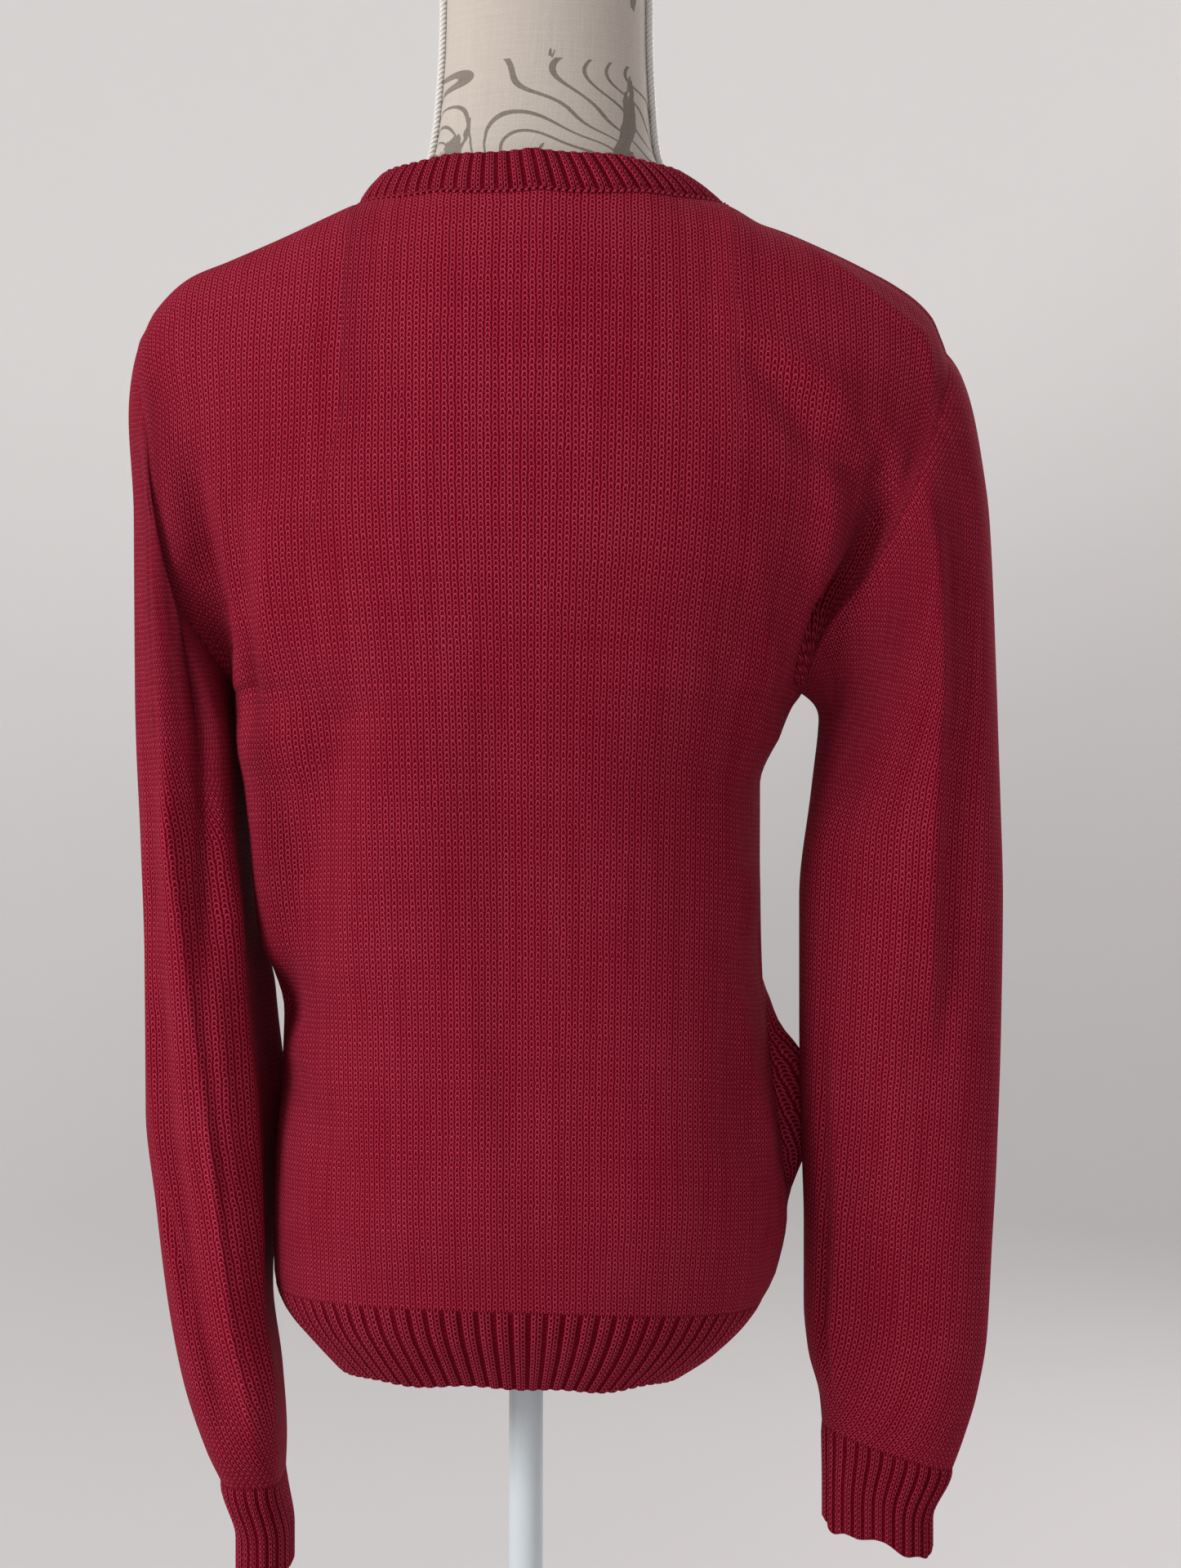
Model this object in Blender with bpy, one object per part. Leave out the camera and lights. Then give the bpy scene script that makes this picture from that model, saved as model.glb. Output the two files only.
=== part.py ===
"""A knitted crew-neck christmas sweater, worn by a limbless dress form on a pole and a round base.

Metres, +Z up, the front of the sweater faces -Y, and the wearer's left is +X.
The origin is the centre of the base's underside.
Heights in the garment's tables are measured from GARMENT_LEVEL, a line across the chest.
"""

import math
from collections import namedtuple

import bmesh
import bpy
import numpy as np

GARMENT_LEVEL = 1.05      # height of the garment tables' zero line above the floor
SEAM_GAP = 0.0003         # the pieces are parted by this much along each seam
BODY_WALL = 0.0022        # thickness of the plain knit
RIB_CREST = 0.0011        # how far a rib stands out of its wall
RIB_VALLEY = 0.0006       # how far the furrow between two ribs sinks in

UNDERARM = 0.052          # height where the side seam meets the sleeve
SHOULDER_TIP = 0.2475     # height where the shoulder seam meets the sleeve
SHOULDER_REACH = 0.2285   # from the neck's middle to the shoulder tip
NECK_REACH = 0.107        # from the neck's middle to the end of the shoulder seam
LEAN = -0.0098            # the shoulders' middle, seen from the pole

SIDE_ROUNDING = 2.4       # roundness of the body's cross section
DOME_ROUNDING = 2.6       # roundness of the shoulders, seen from the side
BACK_ARMHOLE = 0.055      # half depth of the armhole, behind the shoulder
FRONT_ARMHOLE = 0.058     # and in front of it
BACK_NECK_DEPTH = 0.065   # the neckline's place behind the shoulders
FRONT_NECK_DEPTH = 0.098  # and in front of them

NECKBAND_MIDDLE = -0.0048      # the band's upper edge: its middle, half width and depths
NECKBAND_TOP_REACH = 0.0880
NECKBAND_TOP_BACK = 0.0535
NECKBAND_TOP_FRONT = 0.0780
NECKBAND_RISE_BACK = 0.0250    # how far it stands above the neckline
NECKBAND_RISE_SIDE = 0.0174
NECKBAND_RISE_FRONT = 0.0250

HALF_COLUMNS = 14         # columns of a panel on each side of its middle
NECK_COLUMNS = 6          # of these, the ones that end at the neckline
LOWER_ROWS = 9            # rows from the rib to the underarm
UPPER_ROWS = 14           # rows from the underarm to the shoulder
SLEEVE_BLEND = (0.0, 0.07, 0.16, 0.30, 0.48, 0.72, 1.0)   # rings between armhole and level
SLEEVE_LEVEL_START = -0.035                               # below here the rings are level
SLEEVE_TUBE_ROWS = 9
SLEEVE_PULL = 9           # how soon below the armhole the sleeve has its own section
HEM_RIBS_PER_COLUMN = 1.5
NECK_RIBS_PER_COLUMN = 3
CUFF_RIBS_PER_COLUMN = 1

POLE_RADIUS = 0.0098
COLLAR_RADIUS = 0.024     # the collar under the form holds the pole
COLLAR_HEIGHT = 0.020
BASE_RADIUS = 0.170
BASE_THICKNESS = 0.012
BASE_EDGE = 0.003         # rounding of the base's rim
BOSS_RADIUS = 0.016       # the boss in the base's middle carries the pole
BOSS_HEIGHT = 0.028
FORM_FOOT = -0.268        # underside of the form's body
FORM_CLEARANCE = 0.0007   # between the shoulders of the form and the cloth that lies on them
FORM_NECK_CLEARANCE = 0.0030   # more room below the neckline
FORM_TIP_TILT = 0.0050    # half the difference in height between the form's arm ends
NECK_TOP = 0.488          # where the neck's cap begins
CAP_HEIGHT = 0.016
CAP_OVERHANG = 0.002

BodyLevel = namedtuple("BodyLevel", "height left right back front")
BODY = [
    BodyLevel(-0.300, 0.1370, 0.1320, 0.1020, 0.0980),
    BodyLevel(-0.277, 0.1440, 0.1440, 0.1070, 0.1040),
    BodyLevel(-0.245, 0.1445, 0.1500, 0.1100, 0.1090),
    BodyLevel(-0.215, 0.1435, 0.1475, 0.1080, 0.1110),
    BodyLevel(-0.165, 0.1405, 0.1415, 0.1020, 0.1120),
    BodyLevel(-0.130, 0.1395, 0.1375, 0.0970, 0.1130),
    BodyLevel(-0.090, 0.1500, 0.1355, 0.0950, 0.1150),
    BodyLevel(-0.042, 0.1545, 0.1345, 0.0990, 0.1185),
    BodyLevel(0.000, 0.1550, 0.1345, 0.1050, 0.1220),
    BodyLevel(0.028, 0.1600, 0.1460, 0.1090, 0.1240),
    BodyLevel(0.044, 0.1615, 0.1530, 0.1112, 0.1248),
    BodyLevel(0.052, 0.1640, 0.1585, 0.1120, 0.1250),
    BodyLevel(0.074, 0.1760, 0.1640, 0.1120, 0.1250),
    BodyLevel(0.092, 0.1870, 0.1730, 0.1120, 0.1250),
    BodyLevel(0.115, 0.1965, 0.1910, 0.1120, 0.1250),
    BodyLevel(0.140, 0.2015, 0.2050, 0.1120, 0.1250),
    BodyLevel(0.170, 0.2045, 0.2185, 0.1120, 0.1250),
    BodyLevel(0.205, 0.2090, 0.2300, 0.1120, 0.1250),
    BodyLevel(0.2475, 0.2187, 0.2383, 0.1120, 0.1250),
]

CrestPoint = namedtuple("CrestPoint", "reach left right")
CREST = [
    CrestPoint(0.000, 0.3586, 0.3586),
    CrestPoint(0.050, 0.3502, 0.3502),
    CrestPoint(0.080, 0.3386, 0.3386),
    CrestPoint(0.107, 0.3295, 0.3285),
    CrestPoint(0.122, 0.3228, 0.3198),
    CrestPoint(0.146, 0.3118, 0.3095),
    CrestPoint(0.178, 0.2985, 0.2950),
    CrestPoint(0.200, 0.2898, 0.2832),
    CrestPoint(0.220, 0.2715, 0.2665),
    CrestPoint(0.2285, 0.2530, 0.2460),
]

Fold = namedtuple("Fold", "name x0 h0 x1 h1 width depth")
BACK_FOLDS = [
    Fold("left armhole drape", 0.202, 0.190, 0.196, 0.120, 0.012, 0.0035),
    Fold("left armhole hollow", 0.170, 0.155, 0.158, 0.070, 0.011, -0.0055),
    Fold("left underarm ridge", 0.136, 0.140, 0.130, 0.015, 0.014, 0.0035),
    Fold("left underarm hollow", 0.150, 0.115, 0.142, 0.005, 0.011, -0.0040),
    Fold("left side hollow", 0.100, 0.030, 0.132, -0.125, 0.018, -0.0075),
    Fold("left side ridge", 0.142, 0.020, 0.140, -0.090, 0.014, 0.0045),
    Fold("left hip crease", 0.132, -0.165, 0.085, -0.225, 0.016, -0.0035),
    Fold("right armhole crease", -0.145, 0.045, -0.160, 0.110, 0.013, -0.0070),
    Fold("right shoulder ridge", -0.115, 0.250, -0.168, 0.215, 0.014, 0.0045),
    Fold("right armhole ridge", -0.168, 0.215, -0.203, 0.165, 0.013, 0.0055),
    Fold("right shoulder hollow", -0.120, 0.230, -0.160, 0.182, 0.014, -0.0045),
    Fold("right armhole hollow", -0.160, 0.182, -0.180, 0.140, 0.013, -0.0060),
    Fold("right hip crease", -0.128, -0.090, -0.120, -0.190, 0.014, -0.0035),
    Fold("seat swell", -0.080, -0.235, 0.080, -0.235, 0.030, 0.0040),
    Fold("centre line", 0.015, 0.020, 0.000, -0.180, 0.022, -0.0020),
]
FRONT_FOLDS = [
    Fold("left armhole crease", 0.150, 0.040, 0.172, 0.125, 0.014, -0.0065),
    Fold("left chest sweep", 0.150, 0.230, 0.170, 0.110, 0.020, 0.0045),
    Fold("right armhole crease", -0.140, 0.045, -0.165, 0.125, 0.014, -0.0065),
    Fold("right chest sweep", -0.150, 0.235, -0.168, 0.110, 0.020, 0.0045),
    Fold("left side hollow", 0.110, 0.020, 0.118, -0.080, 0.018, -0.0050),
    Fold("right side hollow", -0.105, 0.010, -0.112, -0.110, 0.018, -0.0060),
    Fold("right hip swell", -0.126, -0.172, -0.128, -0.215, 0.024, 0.0320),
    Fold("right waist swell", -0.124, -0.132, -0.126, -0.150, 0.018, 0.0090),
    Fold("left hip swell", 0.110, -0.160, 0.108, -0.225, 0.020, 0.0060),
    Fold("left hip crease", 0.100, -0.165, 0.070, -0.215, 0.016, -0.0045),
    Fold("belly swell", -0.075, -0.230, 0.075, -0.232, 0.030, 0.0045),
]

SleeveLevel = namedtuple("SleeveLevel", "height outer inner back front")
LEFT_SLEEVE = [
    SleeveLevel(-0.3960, 0.1745, 0.1390, 0.034, -0.034),
    SleeveLevel(-0.3770, 0.1830, 0.1385, 0.041, -0.041),
    SleeveLevel(-0.3370, 0.1958, 0.1410, 0.047, -0.046),
    SleeveLevel(-0.2900, 0.2045, 0.1470, 0.050, -0.049),
    SleeveLevel(-0.2370, 0.2110, 0.1480, 0.052, -0.052),
    SleeveLevel(-0.1850, 0.2165, 0.1500, 0.055, -0.054),
    SleeveLevel(-0.1060, 0.2165, 0.1570, 0.059, -0.057),
    SleeveLevel(-0.0300, 0.2185, 0.1605, 0.063, -0.060),
    SleeveLevel(0.0250, 0.2208, 0.1630, 0.065, -0.062),
    SleeveLevel(0.0500, 0.2212, 0.1665, 0.066, -0.063),
    SleeveLevel(0.1500, 0.2215, 0.1745, 0.067, -0.064),
    SleeveLevel(0.2200, 0.2262, 0.1720, 0.063, -0.062),
    SleeveLevel(0.2600, 0.2262, 0.1720, 0.060, -0.060),
]
RIGHT_SLEEVE = [
    SleeveLevel(-0.3800, 0.2450, 0.1705, 0.023, -0.024),
    SleeveLevel(-0.3633, 0.2510, 0.1690, 0.030, -0.031),
    SleeveLevel(-0.3370, 0.2590, 0.1625, 0.035, -0.036),
    SleeveLevel(-0.3069, 0.2645, 0.1600, 0.037, -0.038),
    SleeveLevel(-0.2566, 0.2674, 0.1600, 0.038, -0.038),
    SleeveLevel(-0.2167, 0.2698, 0.1590, 0.039, -0.040),
    SleeveLevel(-0.1363, 0.2726, 0.1575, 0.041, -0.043),
    SleeveLevel(-0.0658, 0.2735, 0.1575, 0.044, -0.046),
    SleeveLevel(-0.0071, 0.2716, 0.1640, 0.049, -0.050),
    SleeveLevel(0.0300, 0.2700, 0.1690, 0.053, -0.053),
    SleeveLevel(0.0500, 0.2692, 0.1740, 0.055, -0.055),
    SleeveLevel(0.1500, 0.2645, 0.1760, 0.060, -0.060),
    SleeveLevel(0.1880, 0.2595, 0.1800, 0.059, -0.060),
    SleeveLevel(0.2200, 0.2540, 0.1800, 0.058, -0.060),
    SleeveLevel(0.2600, 0.2470, 0.1800, 0.055, -0.058),
]

# angles are degrees round the sleeve: 0 outside, 90 behind, 180 beside the body, 270 in front
SleeveFold = namedtuple("SleeveFold", "name a0 h0 a1 h1 width depth")
LEFT_SLEEVE_FOLDS = [
    SleeveFold("back ridge", 80, 0.200, 80, 0.000, 13, 0.0040),
    SleeveFold("outer hollow", 54, 0.180, 56, -0.060, 16, -0.0040),
    SleeveFold("armpit valley", 112, 0.050, 106, -0.075, 13, -0.0065),
    SleeveFold("long ridge", 84, -0.040, 112, -0.300, 13, 0.0055),
    SleeveFold("elbow valley", 62, -0.140, 84, -0.330, 13, -0.0050),
    SleeveFold("inner valley", 138, -0.100, 138, -0.300, 16, -0.0035),
    SleeveFold("front valley", 262, 0.020, 268, -0.200, 17, -0.0060),
    SleeveFold("front ridge", 296, 0.080, 290, -0.260, 16, 0.0040),
    SleeveFold("inner swell", 210, -0.120, 207, -0.175, 22, 0.0112),
    SleeveFold("wrist swell", 212, -0.212, 212, -0.236, 22, 0.0055),
]
RIGHT_SLEEVE_FOLDS = [
    SleeveFold("back ridge", 83, 0.215, 85, -0.090, 13, 0.0055),
    SleeveFold("outer hollow", 63, 0.200, 66, -0.080, 13, -0.0055),
    SleeveFold("inner valley", 128, 0.020, 132, -0.120, 16, -0.0035),
    SleeveFold("forearm valley", 110, -0.190, 100, -0.330, 16, -0.0030),
    SleeveFold("front ridge", 318, 0.160, 312, -0.080, 15, 0.0045),
    SleeveFold("front valley", 262, -0.020, 258, -0.220, 18, -0.0045),
]

RibLevel = namedtuple("RibLevel", "along left right back front")
HEM = [
    RibLevel(0.00, 1.000, 1.000, 1.000, 1.000),
    RibLevel(0.30, 0.957, 0.932, 0.955, 0.955),
    RibLevel(0.65, 0.868, 0.822, 0.865, 0.860),
    RibLevel(1.00, 0.765, 0.675, 0.755, 0.750),
]
HEM_EDGE_HEIGHT = -0.3325
HEM_EDGE_TILT = 0.030     # the hem hangs lower on the wearer's right, per metre across
HEM_EDGE_RISE = 0.0040    # and is a little higher in its middle
HEM_EDGE_REACH = 0.100
HEM_LINE = -0.289         # where the ribbing begins at the side seams
HEM_LINE_TILT = 0.005
HEM_LINE_RISE = 0.0085

LEFT_CUFF_EDGE = SleeveLevel(-0.4490, 0.1655, 0.1345, 0.031, -0.031)
RIGHT_CUFF_EDGE = SleeveLevel(-0.4330, 0.2335, 0.1710, 0.020, -0.021)
CUFF_EDGE_TILT = {"left": 0.05, "right": -0.29}
SLEEVE_END_TILT = {"left": 0.0, "right": -0.34}

FormLevel = namedtuple("FormLevel", "height half back front")
FORM = [
    FormLevel(-0.268, 0.1180, 0.0820, 0.0800),
    FormLevel(-0.255, 0.1270, 0.0900, 0.0880),
    FormLevel(-0.220, 0.1330, 0.0960, 0.0950),
    FormLevel(-0.150, 0.1220, 0.0840, 0.0880),
    FormLevel(-0.100, 0.1130, 0.0780, 0.0850),
    FormLevel(-0.040, 0.1130, 0.0800, 0.0880),
    FormLevel(0.020, 0.1230, 0.0910, 0.1010),
    FormLevel(0.080, 0.1390, 0.0980, 0.1080),
    FormLevel(0.140, 0.1600, 0.1000, 0.1080),
    FormLevel(0.190, 0.1860, 0.1000, 0.1080),
    FormLevel(0.240, 0.2120, 0.1000, 0.1080),
]
FORM_HALF_COLUMNS = 10
FORM_NECK_COLUMNS = 4
FORM_ROWS = 16
FORM_NECK_REACH = 0.074
FORM_NECK_BACK = 0.049
FORM_NECK_FRONT = 0.058

NeckLevel = namedtuple("NeckLevel", "height half back front middle")
FORM_NECK = [
    NeckLevel(0.362, 0.0630, 0.0440, 0.0530, -0.0105),
    NeckLevel(0.385, 0.0600, 0.0435, 0.0515, -0.0110),
    NeckLevel(0.430, 0.0575, 0.0430, 0.0510, -0.0115),
    NeckLevel(0.488, 0.0570, 0.0430, 0.0510, -0.0120),
]


def read(table, column, place, key="height"):
    """The column's value at a place between two rows, on a smooth curve without overshoot."""
    places = [getattr(row, key) for row in table]
    values = [getattr(row, column) for row in table]
    if place <= places[0]:
        return values[0]
    if place >= places[-1]:
        return values[-1]
    last = len(places) - 1
    i = max(n for n in range(last) if places[n] <= place)
    slopes = [(values[n + 1] - values[n]) / (places[n + 1] - places[n]) for n in range(last)]

    def tangent(n):
        if n == 0 or n == last:
            return slopes[min(n, last - 1)]
        before, after = slopes[n - 1], slopes[n]
        if before * after <= 0:
            return 0.0
        return 2 * before * after / (before + after)

    span = places[i + 1] - places[i]
    t = (place - places[i]) / span
    start = (1 + 2 * t) * (1 - t) ** 2 * values[i] + t * (1 - t) ** 2 * span * tangent(i)
    end = t * t * (3 - 2 * t) * values[i + 1] + t * t * (t - 1) * span * tangent(i + 1)
    return start + end


def smooth(t):
    """An even step from 0 to 1."""
    t = min(max(t, 0.0), 1.0)
    return t * t * (3 - 2 * t)


def signed_power(value, power):
    return math.copysign(abs(value) ** power, value)


def crest_height(reach):
    """Height of the shoulder line at a distance from the neck's middle; the left one is higher."""
    return read(CREST, "left" if reach > 0 else "right", abs(reach), key="reach")


def column_place(j, half_columns, up):
    """Where column j stands across the body, -1 to 1: even round it below, even across it above."""
    part = j / half_columns
    below = signed_power(math.sin(part * math.pi / 2), 2 / SIDE_ROUNDING)
    power = math.log(NECK_REACH / SHOULDER_REACH) / math.log(NECK_COLUMNS / HALF_COLUMNS)
    above = signed_power(part, power)
    return below + (above - below) * smooth(up)


def side_x(u, height):
    """X of the place u across the body at a height."""
    left = read(BODY, "left", height)
    right = read(BODY, "right", height)
    middle = (left - right) / 2
    return middle + u * (left + right) / 2


def neckline(x, back):
    """Depth of the neckline at x, measured from the shoulders."""
    reach = min(abs(x - LEAN) / NECK_REACH, 1.0)
    depth = BACK_NECK_DEPTH if back else FRONT_NECK_DEPTH
    return depth * math.sqrt(max(1 - reach ** 2.2, 0.0))


def body_point(j, row, back):
    """One point of the body's outer surface, by column, row and side."""
    lower = min(row / LOWER_ROWS, 1.0)
    upper = max(row - LOWER_ROWS, 0) / UPPER_ROWS
    up = 0.30 * smooth(lower * 1.2 - 0.2) + 0.70 * smooth(upper * 1.6)
    u = column_place(j, HALF_COLUMNS, up)
    depth_name = "back" if back else "front"
    sign = 1 if back else -1
    if upper == 0:
        foot = hem_line(u)
        height = foot + (UNDERARM - foot) * (1 - (1 - lower) ** 1.4)
        depth = read(BODY, depth_name, height)
        rounding = max(1 - abs(u) ** SIDE_ROUNDING, 0.0) ** 0.5
        return np.array((side_x(u, height), sign * depth * rounding, height))
    u_top = column_place(j, HALF_COLUMNS, 1.0)
    x_top = LEAN + u_top * SHOULDER_REACH
    top = crest_height(x_top - LEAN) - UNDERARM
    depth = read(BODY, depth_name, UNDERARM + top * 0.5)
    reach_angle = math.pi / 2
    if abs(j) < NECK_COLUMNS:
        share = min(neckline(x_top, back) / depth, 0.97)
        reach_angle = math.acos(share ** (DOME_ROUNDING / 2))
    angle = reach_angle * upper ** 1.3
    rise = math.sin(angle) ** (2 / DOME_ROUNDING)
    fall = max(math.cos(angle), 0.0) ** (2 / DOME_ROUNDING)
    if reach_angle == math.pi / 2 and upper == 1:
        fall = 0.0
    edge = abs(u) ** 6 if abs(j) < HALF_COLUMNS else 1.0
    height = UNDERARM + top * ((1 - edge) * rise + edge * (1 - math.cos(math.pi * upper)) / 2)
    armhole = BACK_ARMHOLE if back else FRONT_ARMHOLE
    armhole *= max(math.sin(math.pi * upper), 0.0) ** 0.85
    if upper == 1:
        armhole = 0.0
    power = 0.5 + 0.5 * smooth(upper / 0.3)
    inside = max(1 - abs(u) ** SIDE_ROUNDING, 0.0) ** power
    out = depth * fall * inside + armhole * (1 - inside) * (fall if abs(j) < NECK_COLUMNS else 1)
    x = side_x(u, height)
    x += (x_top - x) * smooth((height - 0.20) / 0.06)
    return np.array((x, sign * out, height))


def hem_line(u):
    """Height of the line where the ribbing begins: lower on the wearer's right, higher mid way."""
    return HEM_LINE + HEM_LINE_TILT * u + HEM_LINE_RISE * (1 - u * u)


def fold_offset(x, height, folds):
    """How far the folds push a point of the surface out."""
    total = 0.0
    for fold in folds:
        run = np.array((fold.x1 - fold.x0, fold.h1 - fold.h0))
        offset = np.array((x - fold.x0, height - fold.h0))
        along = float(np.clip(offset @ run / (run @ run), 0, 1))
        away = np.linalg.norm(offset - along * run) / fold.width
        total += fold.depth * math.exp(-away * away)
    return total


def body_grid(back):
    """Rows and columns of points for one panel, folds included."""
    folds = BACK_FOLDS if back else FRONT_FOLDS
    rows = LOWER_ROWS + UPPER_ROWS
    columns = range(-HALF_COLUMNS, HALF_COLUMNS + 1)
    grid = np.array([[body_point(j, row, back) for j in columns] for row in range(rows + 1)])
    normals = grid_normals(grid, flip=not back)
    for row in range(1, rows):
        calm = smooth(row / 2) * smooth((rows - row) / 3)
        for c in range(1, 2 * HALF_COLUMNS):
            quiet = calm * smooth(min(c, 2 * HALF_COLUMNS - c) / 2)
            point = grid[row, c]
            point += normals[row, c] * fold_offset(point[0], point[2], folds) * quiet
    return grid


def unit(vectors):
    length = np.linalg.norm(vectors, axis=-1, keepdims=True)
    return vectors / np.maximum(length, 1e-12)


def differences(grid, axis, closed=False):
    if closed:
        return np.roll(grid, -1, axis) - np.roll(grid, 1, axis)
    return np.gradient(grid, axis=axis)


def grid_normals(grid, flip=False, closed=False):
    """Outward normals of a grid of rows that run up, with columns that run towards +X."""
    up = differences(grid, 0)
    across = differences(grid, 1, closed)
    normals = unit(np.cross(up, across))
    return -normals if flip else normals


def strip_faces(first, second, closed):
    """Quads between two equally long rows of vertices."""
    count = len(first)
    pairs = range(count if closed else count - 1)
    return [(first[i], first[(i + 1) % count], second[(i + 1) % count], second[i]) for i in pairs]


def wall_object(name, outer, inner, material, closed):
    """A wall between two grids with equally many columns, closed by rims at its edges."""
    mesh = bmesh.new()
    outside = [[mesh.verts.new(point) for point in row] for row in outer]
    inside = [[mesh.verts.new(point) for point in row] for row in inner]
    faces = []
    for lower, upper in zip(outside, outside[1:]):
        faces += strip_faces(lower, upper, closed)
    for lower, upper in zip(inside, inside[1:]):
        faces += strip_faces(upper, lower, closed)
    faces += strip_faces(inside[0], outside[0], closed)
    faces += strip_faces(outside[-1], inside[-1], closed)
    if not closed:
        left = [row[0] for row in outside]
        left_in = [row[0] for row in inside]
        right = [row[-1] for row in outside]
        right_in = [row[-1] for row in inside]
        faces += strip_faces(left, left_in, False)
        faces += strip_faces(right_in, right, False)
    for face in faces:
        mesh.faces.new(face)
    return mesh_object(name, mesh, material)


def mesh_object(name, mesh, material, sharp_angle=50):
    """Turn a bmesh into a named object that is shaded smooth up to an angle."""
    bmesh.ops.triangulate(mesh, faces=mesh.faces)
    bmesh.ops.recalc_face_normals(mesh, faces=mesh.faces)
    data = bpy.data.meshes.new(name)
    mesh.to_mesh(data)
    mesh.free()
    data.shade_smooth()
    data.set_sharp_from_angle(angle=math.radians(sharp_angle))
    data.materials.append(material)
    piece = bpy.data.objects.new(name, data)
    piece.location.z = GARMENT_LEVEL
    bpy.context.collection.objects.link(piece)
    return piece


def seam_frame(points, normals, closed, towards):
    """Unit vectors across a seam, in the cloth, pointing to the side of the given points."""
    tangents = unit(differences(points, 0, closed))
    across = unit(np.cross(normals, tangents))
    facing = np.sign(np.sum(across * (towards - points), axis=-1, keepdims=True))
    return across * np.where(facing == 0, 1, facing)


def armhole_loop(back_grid, front_grid, side):
    """The armhole's points: shoulder tip, down the back, underarm, up the front."""
    column = -1 if side == "left" else 0
    top = LOWER_ROWS + UPPER_ROWS
    behind = [back_grid[row, column] for row in range(top, LOWER_ROWS - 1, -1)]
    before = [front_grid[row, column] for row in range(LOWER_ROWS + 1, top)]
    return np.array(behind + before)


def sleeve_section(table, side, angle, height):
    """A point of the sleeve's cross section: 0 outside, a quarter turn behind."""
    outer = read(table, "outer", height)
    inner = read(table, "inner", height)
    back = read(table, "back", height)
    front = read(table, "front", height)
    across = signed_power(math.cos(angle), 0.86)
    deep = signed_power(math.sin(angle), 0.86)
    x = (outer + inner) / 2 + across * (outer - inner) / 2
    y = (back + front) / 2 + deep * (back - front) / 2
    return np.array((x if side == "left" else -x, y, height))


def sleeve_grid(side, loop):
    """Rings of the sleeve from the armhole down to the cuff."""
    table = LEFT_SLEEVE if side == "left" else RIGHT_SLEEVE
    folds = LEFT_SLEEVE_FOLDS if side == "left" else RIGHT_SLEEVE_FOLDS
    count = len(loop)
    angles = [2 * math.pi * k / count for k in range(count)]
    end = table[0].height
    rings = []
    for share in SLEEVE_BLEND:
        pull = 1 - (1 - share) ** SLEEVE_PULL
        ring = []
        for angle, start in zip(angles, loop):
            height = start[2] + (SLEEVE_LEVEL_START - start[2]) * share
            hung = sleeve_section(table, side, angle, height)
            ring.append(start + (hung - start) * (pull, pull, 1) if share else start)
            ring[-1] = np.array((ring[-1][0], ring[-1][1], height))
        rings.append(ring)
    for i in range(1, SLEEVE_TUBE_ROWS + 1):
        share = i / SLEEVE_TUBE_ROWS
        height = SLEEVE_LEVEL_START + (end - SLEEVE_LEVEL_START) * share
        ring = [sleeve_section(table, side, angle, height) for angle in angles]
        middle = sum(point[0] for point in ring) / count
        for point in ring:
            point[2] -= (point[0] - middle) * SLEEVE_END_TILT[side] * share ** 3
        rings.append(ring)
    grid = np.array(rings)
    normals = sleeve_normals(grid, side)
    for r in range(1, len(rings) - 1):
        calm = smooth(r / 2) * smooth((len(rings) - 1 - r) / 1.5)
        for k, angle in enumerate(angles):
            push = sleeve_fold_offset(math.degrees(angle), grid[r, k, 2], folds)
            grid[r, k] += normals[r, k] * push * calm
    return grid


def sleeve_fold_offset(angle, height, folds):
    total = 0.0
    for fold in folds:
        share = (height - fold.h0) / (fold.h1 - fold.h0)
        place = fold.a0 + (fold.a1 - fold.a0) * min(max(share, 0.0), 1.0)
        away = (angle - place + 180) % 360 - 180
        beyond = max(-share, share - 1, 0.0) * abs(fold.h1 - fold.h0) / 0.035
        total += fold.depth * math.exp(-(away / fold.width) ** 2 - beyond ** 2)
    return total


def sleeve_normals(grid, side):
    """Outward normals: the rings run down, and round by way of the back."""
    return grid_normals(grid, flip=side == "right", closed=True)


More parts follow.
